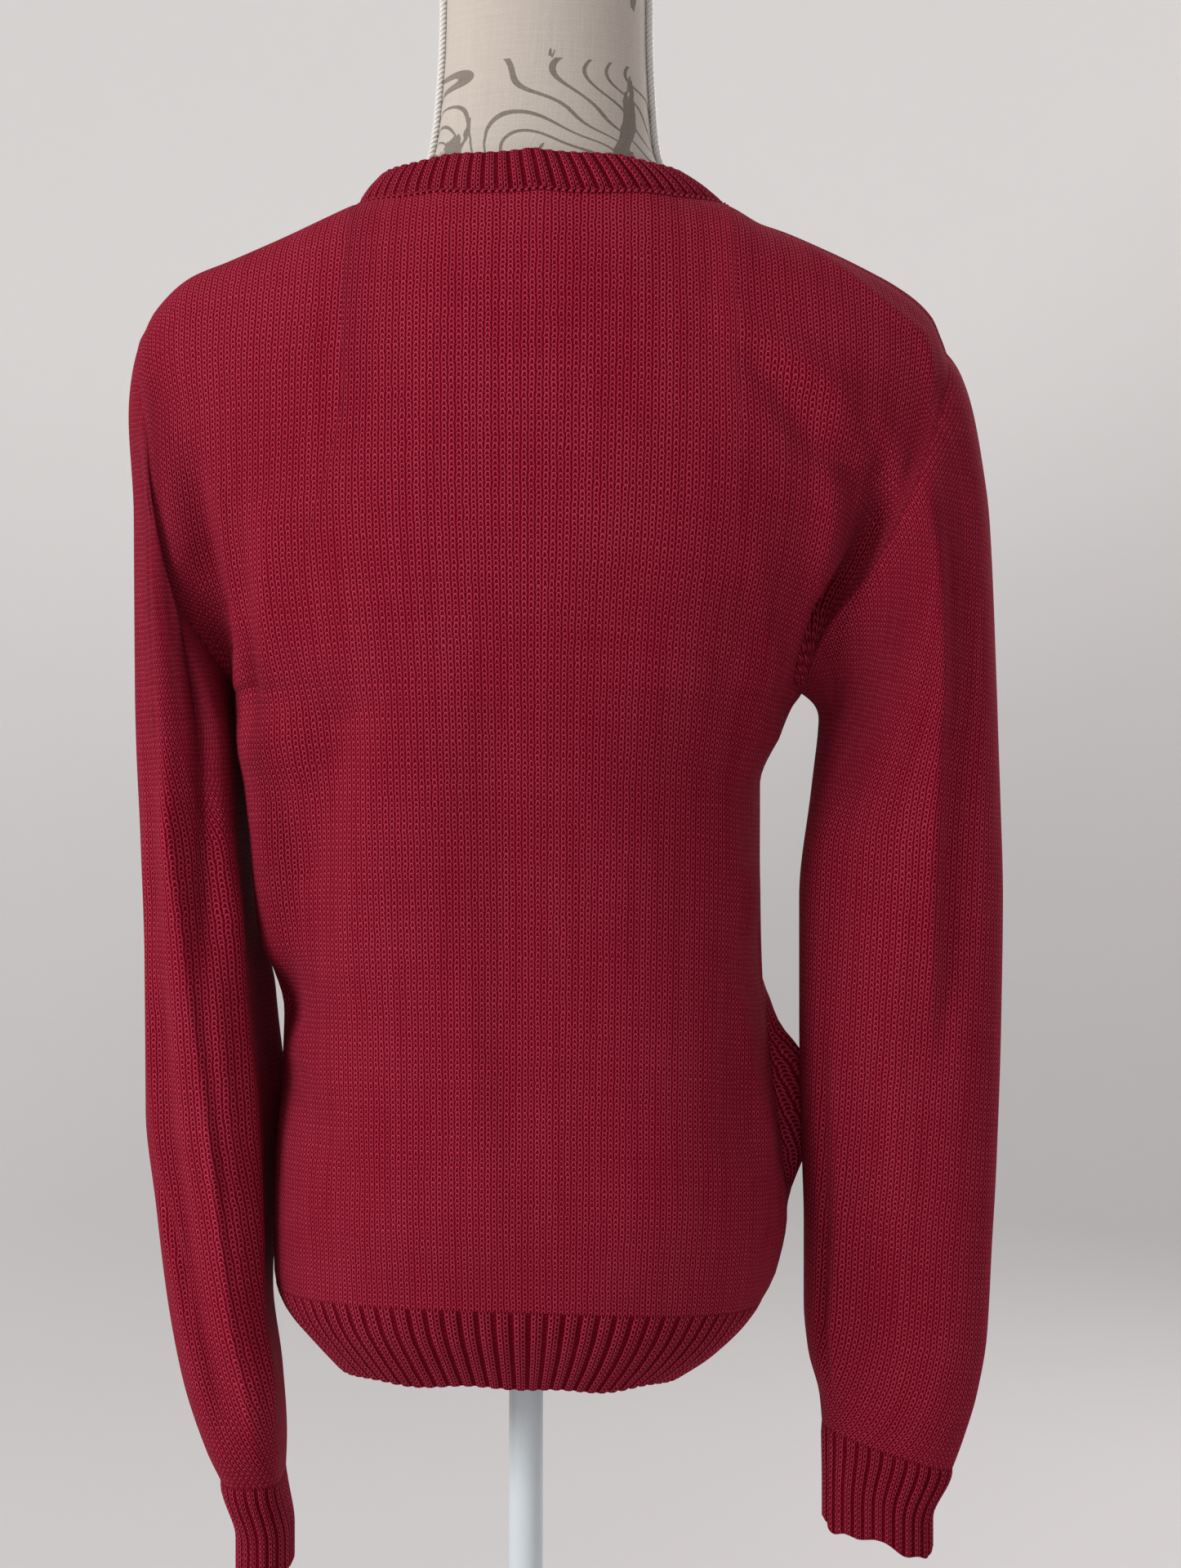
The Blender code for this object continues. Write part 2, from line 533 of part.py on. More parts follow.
class Garment:
    """The grids of all the pieces, and the normals that neighbours share at their seams."""

    def __init__(self):
        self.grid = {"back": body_grid(True), "front": body_grid(False)}
        self.normal = {
            "back": grid_normals(self.grid["back"]),
            "front": grid_normals(self.grid["front"], flip=True),
        }
        self.inset = {name: np.zeros_like(grid) for name, grid in self.grid.items()}
        self.sleeve = {}
        self.sleeve_normal = {}
        self.join_panels()
        for side in ("left", "right"):
            self.join_sleeve(side)
        self.join_neckband()

    def join_panels(self):
        """Side seams and shoulder seams: both panels take the mean normal."""
        back, front = self.normal["back"], self.normal["front"]
        top = LOWER_ROWS + UPPER_ROWS
        places = [(row, column) for row in range(LOWER_ROWS + 1) for column in (0, -1)]
        neck = HALF_COLUMNS - NECK_COLUMNS
        last = 2 * HALF_COLUMNS
        places += [(top, c) for c in range(last + 1) if c <= neck or c >= last - neck]
        for row, column in places:
            mean = back[row, column] + front[row, column]
            mean[1] = 0.0
            back[row, column] = front[row, column] = unit(mean)
        half = SEAM_GAP / 2
        for name, away in (("back", 1.0), ("front", -1.0)):
            for row, column in places:
                self.inset[name][row, column, 1] += away * half

    def join_sleeve(self, side):
        """Armhole seams: panel and sleeve take the mean of their normals."""
        loop = armhole_loop(self.grid["back"], self.grid["front"], side)
        grid = sleeve_grid(side, loop)
        normals = sleeve_normals(grid, side)
        column = -1 if side == "left" else 0
        top = LOWER_ROWS + UPPER_ROWS
        keys = [("back", row) for row in range(top, LOWER_ROWS - 1, -1)]
        keys += [("front", row) for row in range(LOWER_ROWS + 1, top)]
        panel = np.array([self.normal[name][row, column] for name, row in keys])
        tangents = unit(differences(loop, 0, True))
        mean = unit(panel + normals[0])
        mean = unit(mean - tangents * np.sum(mean * tangents, axis=-1, keepdims=True))
        normals[0] = mean
        across = seam_frame(loop, mean, True, grid[1])
        half = SEAM_GAP / 2
        for (name, row), normal, step in zip(keys, mean, across):
            self.normal[name][row, column] = normal
            self.inset[name][row, column] -= step * half
            if row in (LOWER_ROWS, top):
                self.normal["front"][row, column] = normal
                self.inset["front"][row, column] -= step * half
        grid[0] = loop + across * half
        self.sleeve[side] = grid
        self.sleeve_normal[side] = normals

    def join_neckband(self):
        """Neckline: the panels and the band take the mean of their normals."""
        top = LOWER_ROWS + UPPER_ROWS
        low, high = HALF_COLUMNS - NECK_COLUMNS, HALF_COLUMNS + NECK_COLUMNS
        keys = [("back", column) for column in range(high, low - 1, -1)]
        keys += [("front", column) for column in range(low + 1, high)]
        ring = np.array([self.grid[name][top, column] for name, column in keys])
        normals = np.array([self.normal[name][top, column] for name, column in keys])
        self.neckband_top = np.array([neckband_top_point(point) for point in ring])
        tangents = unit(differences(ring, 0, True))
        band = unit(np.cross(tangents, self.neckband_top - ring))
        band *= np.sign(np.sum(band * normals, axis=-1, keepdims=True))
        mean = unit(normals + band)
        mean = unit(mean - tangents * np.sum(mean * tangents, axis=-1, keepdims=True))
        across = seam_frame(ring, mean, True, self.neckband_top)
        for (name, column), normal, step in zip(keys, mean, across):
            both = ("back", "front") if column in (low, high) else (name,)
            for panel in both:
                self.normal[panel][top, column] = normal
                self.inset[panel][top, column] -= step * SEAM_GAP / 2
        self.neckline = ring + across * (SEAM_GAP / 2)
        self.neckline_normal = mean


def neckband_top_point(point):
    """Where the band's upper edge stands above a point of the neckline."""
    depth = BACK_NECK_DEPTH if point[1] > 0 else FRONT_NECK_DEPTH
    turn = math.atan2(point[1] / depth, (point[0] - LEAN) / NECK_REACH)
    deep = math.sin(turn)
    depth = NECKBAND_TOP_BACK if deep > 0 else NECKBAND_TOP_FRONT
    end = NECKBAND_RISE_BACK if deep > 0 else NECKBAND_RISE_FRONT
    rise = NECKBAND_RISE_SIDE + (end - NECKBAND_RISE_SIDE) * deep * deep
    x = NECKBAND_MIDDLE + NECKBAND_TOP_REACH * math.cos(turn)
    return np.array((x, depth * deep, point[2] + rise))


def split_ring(points, pieces):
    """Points on a closed polyline, each of its stretches cut into equal pieces."""
    ahead = np.roll(points, -1, axis=0)
    steps = [points + (ahead - points) * (i / pieces) for i in range(pieces)]
    return np.stack(steps, axis=1).reshape(-1, 3)


def ribbed_ring(name, edge, edge_in, rows, normals, relief, wall, material):
    """A ribbed tube that starts at a neighbour's edge: its outer points are raised, rib by rib.

    edge and edge_in are the neighbour's outer and inner rim, moved over the seam's gap.
    rows are the plain outer rings after the edge, each with its normals.
    """
    count = len(edge)
    lift = np.where(np.arange(count) % 2 == 0, RIB_CREST, -RIB_VALLEY)[:, None]
    outer = [edge]
    for ring, normal, amount in zip(rows, normals, relief):
        outer.append(ring + normal * lift * amount)
    inner = [edge_in]
    for ring, normal in zip(rows[1:], normals[1:]):
        inner.append(ring - normal * wall)
    return wall_object(name, np.array(outer), np.array(inner), material, closed=True)


def finish(name, colour, roughness, metallic=0.0):
    """A Principled material with one colour."""
    material = bpy.data.materials.new(name)
    material.use_nodes = True
    shader = material.node_tree.nodes["Principled BSDF"]
    shader.inputs["Base Color"].default_value = (*colour, 1.0)
    shader.inputs["Roughness"].default_value = roughness
    shader.inputs["Metallic"].default_value = metallic
    material.diffuse_color = (*colour, 1.0)
    return material


def build_panels(garment, knit):
    for name in ("back", "front"):
        outer = garment.grid[name] + garment.inset[name]
        inner = outer - garment.normal[name] * BODY_WALL
        wall_object(name + "_panel", outer, inner, knit, closed=False)


def build_sleeves(garment, knit):
    for side in ("left", "right"):
        outer = garment.sleeve[side]
        inner = outer - garment.sleeve_normal[side] * BODY_WALL
        wall_object(side + "_sleeve", outer, inner, knit, closed=True)


def hem_ring(garment):
    """The lower edge of both panels as one ring, with its normals: left side, back, right side."""
    back, front = garment.grid["back"][0], garment.grid["front"][0]
    ring = np.concatenate([back[::-1], front[1:-1]])
    normals = np.concatenate([garment.normal["back"][0][::-1], garment.normal["front"][0][1:-1]])
    return ring, normals


def build_hem(garment, knit):
    """The hem's ribbing draws in below the form."""
    pieces = int(2 * HEM_RIBS_PER_COLUMN)
    ring, normals = hem_ring(garment)
    down = np.array((0.0, 0.0, -1.0))
    edge = split_ring(ring + down * SEAM_GAP, pieces)
    edge_in = split_ring(ring - normals * BODY_WALL + down * SEAM_GAP, pieces)
    around = unit(split_ring(normals, pieces))
    rows = []
    for level in (HEM[0]._replace(along=0.08),) + tuple(HEM[1:]):
        points = edge.copy()
        left = points[:, 0] > 0
        points[:, 0] *= np.where(left, level.left, level.right)
        points[:, 1] *= np.where(points[:, 1] > 0, level.back, level.front)
        middle = np.clip(1 - (points[:, 0] / HEM_EDGE_REACH) ** 2, 0, 1)
        foot = HEM_EDGE_HEIGHT + HEM_EDGE_TILT * points[:, 0] + HEM_EDGE_RISE * middle
        points[:, 2] += (foot - points[:, 2]) * level.along
        rows.append(points)
    slope = [0.0, 0.25, 0.55, 0.65]
    tilted = [unit(around + down * amount) for amount in slope]
    ribbed_ring("hem_ribbing", edge, edge_in, rows, tilted, [0.8, 1.0, 1.0, 0.9], BODY_WALL, knit)


def build_cuffs(garment, knit):
    """Ribbed cuffs that close round the wrists."""
    pieces = 2 * CUFF_RIBS_PER_COLUMN
    edges = {"left": LEFT_CUFF_EDGE, "right": RIGHT_CUFF_EDGE}
    down = np.array((0.0, 0.0, -1.0))
    for side in ("left", "right"):
        ring = garment.sleeve[side][-1]
        normals = garment.sleeve_normal[side][-1]
        edge = split_ring(ring + down * SEAM_GAP, pieces)
        edge_in = split_ring(ring - normals * BODY_WALL + down * SEAM_GAP, pieces)
        around = unit(split_ring(normals, pieces))
        around = unit(around * (1, 1, 0))
        wrist = edges[side]
        count = len(edge)
        turn = [2 * math.pi * k / count for k in range(count)]
        last = np.array([sleeve_section([wrist, wrist], side, a, wrist.height) for a in turn])
        middle = (wrist.outer + wrist.inner) / 2 * (1 if side == "left" else -1)
        last[:, 2] -= (last[:, 0] - middle) * CUFF_EDGE_TILT[side]
        rows = []
        for share in (0.12, 0.50, 1.0):
            level = edge + (last - edge) * share
            pull = smooth(share * 1.6)
            level[:, :2] = edge[:, :2] + (last[:, :2] - edge[:, :2]) * pull
            rows.append(level)
        ribbed_ring(side + "_cuff", edge, edge_in, rows, [around] * 3, [0.7, 0.9, 0.8],
                    BODY_WALL, knit)


def build_neckband(garment, knit):
    """The neckband stands up from the neckline and leans in towards the neck."""
    pieces = 2 * NECK_RIBS_PER_COLUMN
    ring, normals = garment.neckline, garment.neckline_normal
    edge = split_ring(ring, pieces)
    edge_in = split_ring(ring - normals * BODY_WALL, pieces)
    around = unit(split_ring(normals, pieces))
    last = split_ring(garment.neckband_top, pieces)
    rows = [edge + (last - edge) * share for share in (0.10, 0.55, 1.0)]
    ribbed_ring("neckband", edge, edge_in, rows, [around] * 3, [0.8, 1.0, 0.9], BODY_WALL, knit)


def form_point(j, row, back):
    """One point of the form's body, a narrower body with closed, rounded arm ends."""
    u_low = signed_power(math.sin(j / FORM_HALF_COLUMNS * math.pi / 2), 2 / SIDE_ROUNDING)
    tip = FORM[-1].height
    reach = FORM[-1].half
    part = abs(j) / FORM_HALF_COLUMNS
    u_top = signed_power(j / FORM_HALF_COLUMNS,
                         math.log(FORM_NECK_REACH / reach)
                         / math.log(FORM_NECK_COLUMNS / FORM_HALF_COLUMNS))
    share = row / FORM_ROWS
    u = u_low + (u_top - u_low) * smooth(share * 1.4 - 0.4)
    depth_name = "back" if back else "front"
    sign = 1 if back else -1
    near_neck = 1 - smooth((abs(u_top * reach) - NECK_REACH) / 0.035)
    crest = crest_height(u_top * reach) - (BODY_WALL + FORM_CLEARANCE) * 1.1
    crest -= FORM_NECK_CLEARANCE * near_neck
    if part == 1:
        crest = tip + FORM_TIP_TILT * u_top
    full = read(FORM, depth_name, UNDERARM)
    quarter = math.pi / 2
    if abs(j) < FORM_NECK_COLUMNS:
        neck = FORM_NECK_BACK if back else FORM_NECK_FRONT
        neck *= math.sqrt(1 - (u_top * reach / FORM_NECK_REACH) ** 2)
        quarter = math.acos((neck / full) ** (DOME_ROUNDING / 2))
    if share <= 0.5:
        height = FORM_FOOT + (UNDERARM - FORM_FOOT) * share * 2
        fall = 1.0
    else:
        angle = quarter * (share * 2 - 1) ** 1.3
        rise = math.sin(angle) ** (2 / DOME_ROUNDING)
        fall = max(math.cos(angle), 0.0) ** (2 / DOME_ROUNDING)
        height = UNDERARM + (crest - UNDERARM) * rise
        if share == 1 and abs(j) >= FORM_NECK_COLUMNS:
            fall = 0.0
    middle = LEAN * smooth((height - FORM_FOOT) / (SHOULDER_TIP - FORM_FOOT)) + form_shift(height)
    depth = read(FORM, depth_name, height)
    rounding = max(1 - abs(u) ** SIDE_ROUNDING, 0.0) ** 0.5
    if part == 1:
        rounding = 0.0
    half = read(FORM, "half", min(height, tip))
    return np.array((middle + u * half, sign * depth * fall * rounding, height))


def form_shift(height):
    """The body hangs a little to one side of the form's middle below the chest."""
    return 0.004 * (1 - smooth((height + 0.05) / 0.25))


def build_form(linen):
    """Body and neck of the form, one smooth closed solid."""
    columns = range(-FORM_HALF_COLUMNS, FORM_HALF_COLUMNS + 1)
    mesh = bmesh.new()
    rings = {}
    for back in (True, False):
        grid = [[mesh.verts.new(form_point(j, row, back)) for j in columns]
                for row in range(FORM_ROWS + 1)]
        rings[back] = grid
        for lower, upper in zip(grid, grid[1:]):
            for face in strip_faces(lower, upper, False):
                mesh.faces.new(face)
    low = FORM_HALF_COLUMNS - FORM_NECK_COLUMNS
    high = FORM_HALF_COLUMNS + FORM_NECK_COLUMNS
    neck = rings[True][-1][low:high + 1][::-1] + rings[False][-1][low + 1:high]
    previous = neck
    for level in FORM_NECK:
        ring = []
        for vertex in neck:
            turn = math.atan2(vertex.co.y / (FORM_NECK_BACK if vertex.co.y > 0 else FORM_NECK_FRONT),
                              (vertex.co.x - LEAN) / FORM_NECK_REACH)
            deep = level.back if math.sin(turn) > 0 else level.front
            ring.append(mesh.verts.new((level.middle + level.half * math.cos(turn),
                                        deep * math.sin(turn), level.height)))
        for face in strip_faces(previous, ring, True):
            mesh.faces.new(face)
        previous = ring
    mesh.faces.new(previous)
    foot = rings[True][0][::-1] + rings[False][0][1:-1]
    mesh.faces.new(foot)
    bmesh.ops.remove_doubles(mesh, verts=mesh.verts, dist=0.00005)
    bmesh.ops.dissolve_degenerate(mesh, edges=mesh.edges, dist=0.00001)
    return mesh_object("form_body", mesh, linen)


def turned(name, profile, material, middle_x=0.0, depth=1.0, segments=40, floor=0.0):
    """A solid turned about an upright axis from (radius, height) pairs, closed at both ends."""
    mesh = bmesh.new()
    rings = []
    for radius, height in profile:
        rings.append([mesh.verts.new((middle_x + radius * math.cos(2 * math.pi * k / segments),
                                      depth * radius * math.sin(2 * math.pi * k / segments),
                                      height))
                      for k in range(segments)])
    for lower, upper in zip(rings, rings[1:]):
        for face in strip_faces(lower, upper, True):
            mesh.faces.new(face)
    mesh.faces.new(rings[0][::-1])
    mesh.faces.new(rings[-1])
    piece = mesh_object(name, mesh, material, sharp_angle=35)
    piece.location.z = floor
    return piece


def build_stand(paint, wood):
    """Cap, collar, pole and base, from the neck down to the floor."""
    neck = FORM_NECK[-1]
    cap = neck.half + CAP_OVERHANG
    bottom = NECK_TOP + SEAM_GAP
    turned("neck_cap", [(cap - 0.001, bottom), (cap, bottom + 0.001),
                        (cap, bottom + CAP_HEIGHT * 0.6), (cap - 0.004, bottom + CAP_HEIGHT),
                        (cap - 0.020, bottom + CAP_HEIGHT + 0.004)],
           wood, middle_x=neck.middle, depth=(neck.back + neck.front) / 2 / neck.half,
           segments=24, floor=GARMENT_LEVEL)
    foot = GARMENT_LEVEL + FORM_FOOT - SEAM_GAP
    under = foot - COLLAR_HEIGHT
    turned("pole_collar", [(COLLAR_RADIUS - 0.004, under), (COLLAR_RADIUS, under + 0.004),
                           (COLLAR_RADIUS, foot)],
           paint, segments=24)
    boss_top = BASE_THICKNESS + BOSS_HEIGHT
    turned("pole", [(POLE_RADIUS, boss_top + SEAM_GAP), (POLE_RADIUS, under - SEAM_GAP)], paint,
           segments=20)
    turned("stand_base", [(BASE_RADIUS - BASE_EDGE, 0.0), (BASE_RADIUS, BASE_EDGE),
                          (BASE_RADIUS, BASE_THICKNESS - BASE_EDGE),
                          (BASE_RADIUS - BASE_EDGE, BASE_THICKNESS),
                          (BOSS_RADIUS + 0.014, BASE_THICKNESS + 0.002),
                          (BOSS_RADIUS + 0.002, BASE_THICKNESS + 0.010),
                          (BOSS_RADIUS, boss_top)],
           paint, segments=44)


def main():
    for item in list(bpy.data.objects):
        bpy.data.objects.remove(item)
    knit = finish("crimson_knit", (0.26, 0.008, 0.024), 0.9)
    linen = finish("printed_linen", (0.62, 0.56, 0.49), 0.85)
    paint = finish("pale_paint", (0.68, 0.75, 0.80), 0.4)
    wood = finish("pale_wood", (0.55, 0.42, 0.28), 0.5)
    garment = Garment()
    build_panels(garment, knit)
    build_sleeves(garment, knit)
    build_hem(garment, knit)
    build_cuffs(garment, knit)
    build_neckband(garment, knit)
    build_form(linen)
    build_stand(paint, wood)


main()
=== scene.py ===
import math

import bpy
import numpy as np
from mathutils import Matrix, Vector


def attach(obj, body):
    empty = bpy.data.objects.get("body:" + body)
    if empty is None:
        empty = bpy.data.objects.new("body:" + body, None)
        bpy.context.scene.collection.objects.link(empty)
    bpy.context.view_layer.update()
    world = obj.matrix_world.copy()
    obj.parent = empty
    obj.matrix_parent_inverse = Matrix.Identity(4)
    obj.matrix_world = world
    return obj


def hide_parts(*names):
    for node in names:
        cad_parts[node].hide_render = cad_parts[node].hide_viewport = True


# A crimson christmas sweater on a limbless dress form, seen from behind.
# Metres, +Z up, the sweater's front faces -Y, and the wearer's left is +X.
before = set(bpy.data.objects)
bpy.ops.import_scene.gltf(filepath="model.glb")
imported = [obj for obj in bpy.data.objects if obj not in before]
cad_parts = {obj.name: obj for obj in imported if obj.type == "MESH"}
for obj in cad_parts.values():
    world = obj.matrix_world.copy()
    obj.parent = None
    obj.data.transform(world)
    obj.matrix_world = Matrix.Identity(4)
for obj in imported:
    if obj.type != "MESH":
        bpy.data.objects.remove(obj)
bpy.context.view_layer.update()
print("frame loaded")

view = {
    "place": (-0.0371, 1.35, 1.05),
    "lens": 53.85,
    "sensor": 36.0,
    "daylight": (0.50, 0.49, 0.485),
    "lamps": (
        # name, place, aim, width, watts, colour
        ("windowLamp", (2.32, 1.58, 2.30), (0.0, 0.05, 1.10), 1.3, 65.0, (1.0, 0.985, 0.97)),
        ("frontLamp", (-1.9, -2.3, 2.3), (0.0, 0.0, 1.0), 1.5, 40.0, (1.0, 0.99, 0.98)),
    ),
}


def addCamera():
    data = bpy.data.cameras.new("camera")
    data.lens = view["lens"]
    data.sensor_width = view["sensor"]
    camera = bpy.data.objects.new("camera", data)
    camera.location = view["place"]
    camera.rotation_euler = (math.pi / 2, 0, math.pi)   # level, towards -Y
    bpy.context.scene.collection.objects.link(camera)
    bpy.context.scene.camera = camera


def addLamps():
    for name, place, aim, width, watts, colour in view["lamps"]:
        data = bpy.data.lights.new(name, "AREA")
        data.size = width
        data.energy = watts
        data.color = colour
        lamp = bpy.data.objects.new(name, data)
        lamp.location = place
        lamp.rotation_euler = (Vector(aim) - Vector(place)).to_track_quat("-Z", "Y").to_euler()
        lamp.visible_camera = False
        bpy.context.scene.collection.objects.link(lamp)


def addDaylight():
    world = bpy.data.worlds.new("daylight")
    world.use_nodes = True
    world.node_tree.nodes["Background"].inputs["Color"].default_value = (*view["daylight"], 1)
    bpy.context.scene.world = world
    bpy.context.scene.view_settings.view_transform = "Standard"


addCamera()
addLamps()
addDaylight()
print("camera and light set")


# small helpers: curves, grids and meshes

def ease(t):
    t = np.clip(t, 0, 1)
    return t * t * (3 - 2 * t)


def curve(table, name, places):   # smooth through one column of a table, without overshoot
    rows = np.array(table["rows"], float)
    x, y = rows[:, 0], rows[:, table["columns"].index(name)]
    slope = np.diff(y) / np.diff(x)
    before, after = slope[:-1], slope[1:]
    same = before * after > 0
    mean = np.where(same, 2 * before * after / np.where(same, before + after, 1), 0)
    tangent = np.concatenate([slope[:1], mean, slope[-1:]])
    places = np.clip(np.asarray(places, float), x[0], x[-1])
    i = np.clip(np.searchsorted(x, places, side="right") - 1, 0, len(x) - 2)
    span = x[i + 1] - x[i]
    t = (places - x[i]) / span
    start = (1 + 2 * t) * (1 - t) ** 2 * y[i] + t * (1 - t) ** 2 * span * tangent[i]
    end = t * t * (3 - 2 * t) * y[i + 1] + t * t * (t - 1) * span * tangent[i + 1]
    return start + end


def signedPower(value, power):
    return np.sign(value) * np.abs(value) ** power


def unit(vectors):
    return vectors / np.maximum(np.linalg.norm(vectors, axis=-1, keepdims=True), 1e-12)


def steps(grid, axis, closed=False):
    if closed:
        return np.roll(grid, -1, axis) - np.roll(grid, 1, axis)
    return np.gradient(grid, axis=axis)


def gridNormals(grid, flip=False, closed=False):
    normals = unit(np.cross(steps(grid, 0), steps(grid, 1, closed)))
    return -normals if flip else normals


def quads(index, flip):
    a, b, c, d = index[:-1, :-1], index[:-1, 1:], index[1:, 1:], index[1:, :-1]
    order = (a, b, c, d) if flip else (a, d, c, b)
    return np.stack(order, axis=-1).reshape(-1, 4)


def addMesh(name, points, faces, uv, uvFaces, material, sharp=60, normals=None):
    mesh = bpy.data.meshes.new(name)
    mesh.from_pydata(points.tolist(), [], faces.tolist())
    layer = mesh.uv_layers.new(name="stitches")
    layer.data.foreach_set("uv", uv[uvFaces.ravel()].astype(np.float32).ravel())
    mesh.shade_smooth()
    mesh.set_sharp_from_angle(angle=math.radians(sharp))
    mesh.materials.append(material)
    mesh.update()
    if normals is not None:
        mesh.normals_split_custom_set_from_vertices(normals.tolist())
    piece = bpy.data.objects.new(name, mesh)
    bpy.context.scene.collection.objects.link(piece)
    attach(piece, "root")
    return piece


def addWall(name, outer, inner, uv, material, flip=False, closed=False, normals=None):
    # a knitted wall between two grids of points, closed by rims along its edges;
    # neighbours that are given the same normals at their seam run on smoothly
    rows, columns = outer.shape[:2]
    count = rows * columns
    index = np.arange(count).reshape(rows, columns)
    uvIndex = np.arange(uv.shape[0] * uv.shape[1]).reshape(uv.shape[:2])
    if closed:
        index = np.concatenate([index, index[:, :1]], axis=1)
    parts = [
        (quads(index, flip), quads(uvIndex, flip)),
        (quads(index + count, not flip), quads(uvIndex, not flip)),
    ]
    edges = [(0, slice(None), flip), (-1, slice(None), not flip)]
    if not closed:
        edges += [(slice(None), 0, not flip), (slice(None), -1, flip)]
    for row, column, turned in edges:
        line, uvLine = index[row, column], uvIndex[row, column]
        rim = np.stack([line + count, line])
        parts.append((quads(rim, turned), quads(np.stack([uvLine, uvLine]), turned)))
    faces = np.concatenate([part[0] for part in parts])
    uvFaces = np.concatenate([part[1] for part in parts])
    points = np.concatenate([outer.reshape(-1, 3), inner.reshape(-1, 3)])
    points = points + (0, 0, garment["level"])
    if normals is not None:
        normals = np.concatenate([normals.reshape(-1, 3), -normals.reshape(-1, 3)])
    return addMesh(name, points, faces, uv.reshape(-1, 2), uvFaces, material, normals=normals)


def addSkin(name, grid, uv, material, flip=False, level=0.0, sharp=60):
    # a single surface round closed rings, for pieces that close themselves
    rows, columns = grid.shape[:2]
    index = np.arange(rows * columns).reshape(rows, columns)
    index = np.concatenate([index, index[:, :1]], axis=1)
    uvIndex = np.arange(uv.shape[0] * uv.shape[1]).reshape(uv.shape[:2])
    points = grid.reshape(-1, 3) + (0, 0, level)
    faces, uvFaces = quads(index, flip), quads(uvIndex, flip)
    return addMesh(name, points, faces, uv.reshape(-1, 2), uvFaces, material, sharp)


# materials

def maths(tree, operation, *values):
    node = tree.nodes.new("ShaderNodeMath")
    node.operation = operation
    for slot, value in zip(node.inputs, values):
        if isinstance(value, (int, float)):
            slot.default_value = value
        else:
            tree.links.new(value, slot)
    return node.outputs[0]


def addNode(tree, kind, links=(), **values):
    node = tree.nodes.new(kind)
    for name, value in values.items():
        if name in node.inputs:
            node.inputs[name].default_value = value
        else:
            setattr(node, name, value)
    for name, socket in links:
        tree.links.new(socket, node.inputs[name])
    return node


def noise(tree, vector, scale, detail=2.0, roughness=0.5):
    node = addNode(tree, "ShaderNodeTexNoise", [("Vector", vector)],
                   Scale=scale, Detail=detail, Roughness=roughness)
    return node.outputs["Fac"]


def stretched(tree, vector, scale):
    node = addNode(tree, "ShaderNodeVectorMath", [(0, vector)], operation="MULTIPLY")
    node.inputs[1].default_value = scale
    return node.outputs[0]


def blend(tree, share, first, second):
    node = addNode(tree, "ShaderNodeMix", data_type="RGBA")
    for slot, value in ((node.inputs[6], first), (node.inputs[7], second)):
        if isinstance(value, tuple):
            slot.default_value = (*value, 1)
        else:
            tree.links.new(value, slot)
    tree.links.new(share, node.inputs[0])
    return node.outputs[2]


sheenRoughness = 0.45


def newFinish(name, roughness, sheen=0.0, sheenTint=(1, 1, 1), shine=0.5):
    material = bpy.data.materials.new(name)
    material.use_nodes = True
    tree = material.node_tree
    shader = tree.nodes["Principled BSDF"]
    shader.inputs["Roughness"].default_value = roughness
    shader.inputs["Specular IOR Level"].default_value = shine
    shader.inputs["Sheen Weight"].default_value = sheen
    shader.inputs["Sheen Roughness"].default_value = sheenRoughness
    shader.inputs["Sheen Tint"].default_value = (*sheenTint, 1)
    return material, tree, shader


def addRelief(tree, shader, height, distance, strength=1.0):
    bump = addNode(tree, "ShaderNodeBump", [("Height", height)], Distance=distance, Strength=strength)
    tree.links.new(bump.outputs[0], shader.inputs["Normal"])


yarn = {
    # painted shade: the dark colour between the strands stands in for their shadow
    "hollowShade": (0.140, 0.0001, 0.0060),   # between the strands
    "body": (0.278, 0.0012, 0.0220),
    # painted highlight: the lighter, pinker colour on top of each stitch stands in for sheen on the lit
    # strands
    "crownHighlight": (0.450, 0.0380, 0.0800),    # on top of each stitch
    # painted shade: darker still, deep in the purl furrows of the ribbing
    "furrow": (0.080, 0.0001, 0.0035),   # in the purl furrows of the ribbing
    "furrowShare": 0.25,                 # of each rib's width
    "roughness": 0.95,
    "shine": 0.06,
    "sheen": 0.015,
    "sheenTint": (1.0, 0.40, 0.48),
    "relief": 0.0009,
    "strandWidth": 0.155,  # half width of a leg, in wales
    "legPlace": 0.345,     # from the wale's middle to a leg's foot
    "legSlant": 0.175,     # how much nearer it comes at its top
    "lean": 0.30,          # courses that a leg's foot lies lower than the bend
    "bend": 0.80,          # height of the bend that joins the legs, in courses
    "bendSize": 0.24,
    "bendWidth": 0.27,
    "footDip": 0.45,       # how far a leg sinks at its foot
    "legCrown": (0.62, 0.66),   # the course share where a leg stands highest, and its reach
    "wander": {"plain": 0.50, "rib": 0.20},   # how far the wales wander, in wales
    "drift": 1.1,               # and the courses, in courses
    "rung": (0.24, 0.06),       # the purl loops in a furrow, and the furrow between them
    # the hollow and crown colours are painted shade and a painted highlight
    "levels": (0.12, 0.55, 1.0),   # heights that take the hollow, body and crown colours
    "fuzz": 0.35,
    "walesToRib": 3,
}
yarnNoise = {   # stretch over wales and courses, scale, detail, roughness
    "wobble": ((1.0, 1.0), 0.40, 2.0, 0.5),
    "drift": ((0.7, 1.3), 0.27, 1.0, 0.5),
    "thread": ((5.0, 2.2), 1.6, 3.0, 0.6),
    "mottle": ((1.0, 1.0), 0.045, 3.0, 0.55),
    "streak": ((0.55, 0.02), 1.0, 2.0, 0.5),
    "row": ((0.03, 0.6), 1.0, 2.0, 0.5),
}
yarnTones = (("mottle", 0.30), ("streak", 0.34), ("row", 0.14))   # after the thread's own
threadTone = 0.30


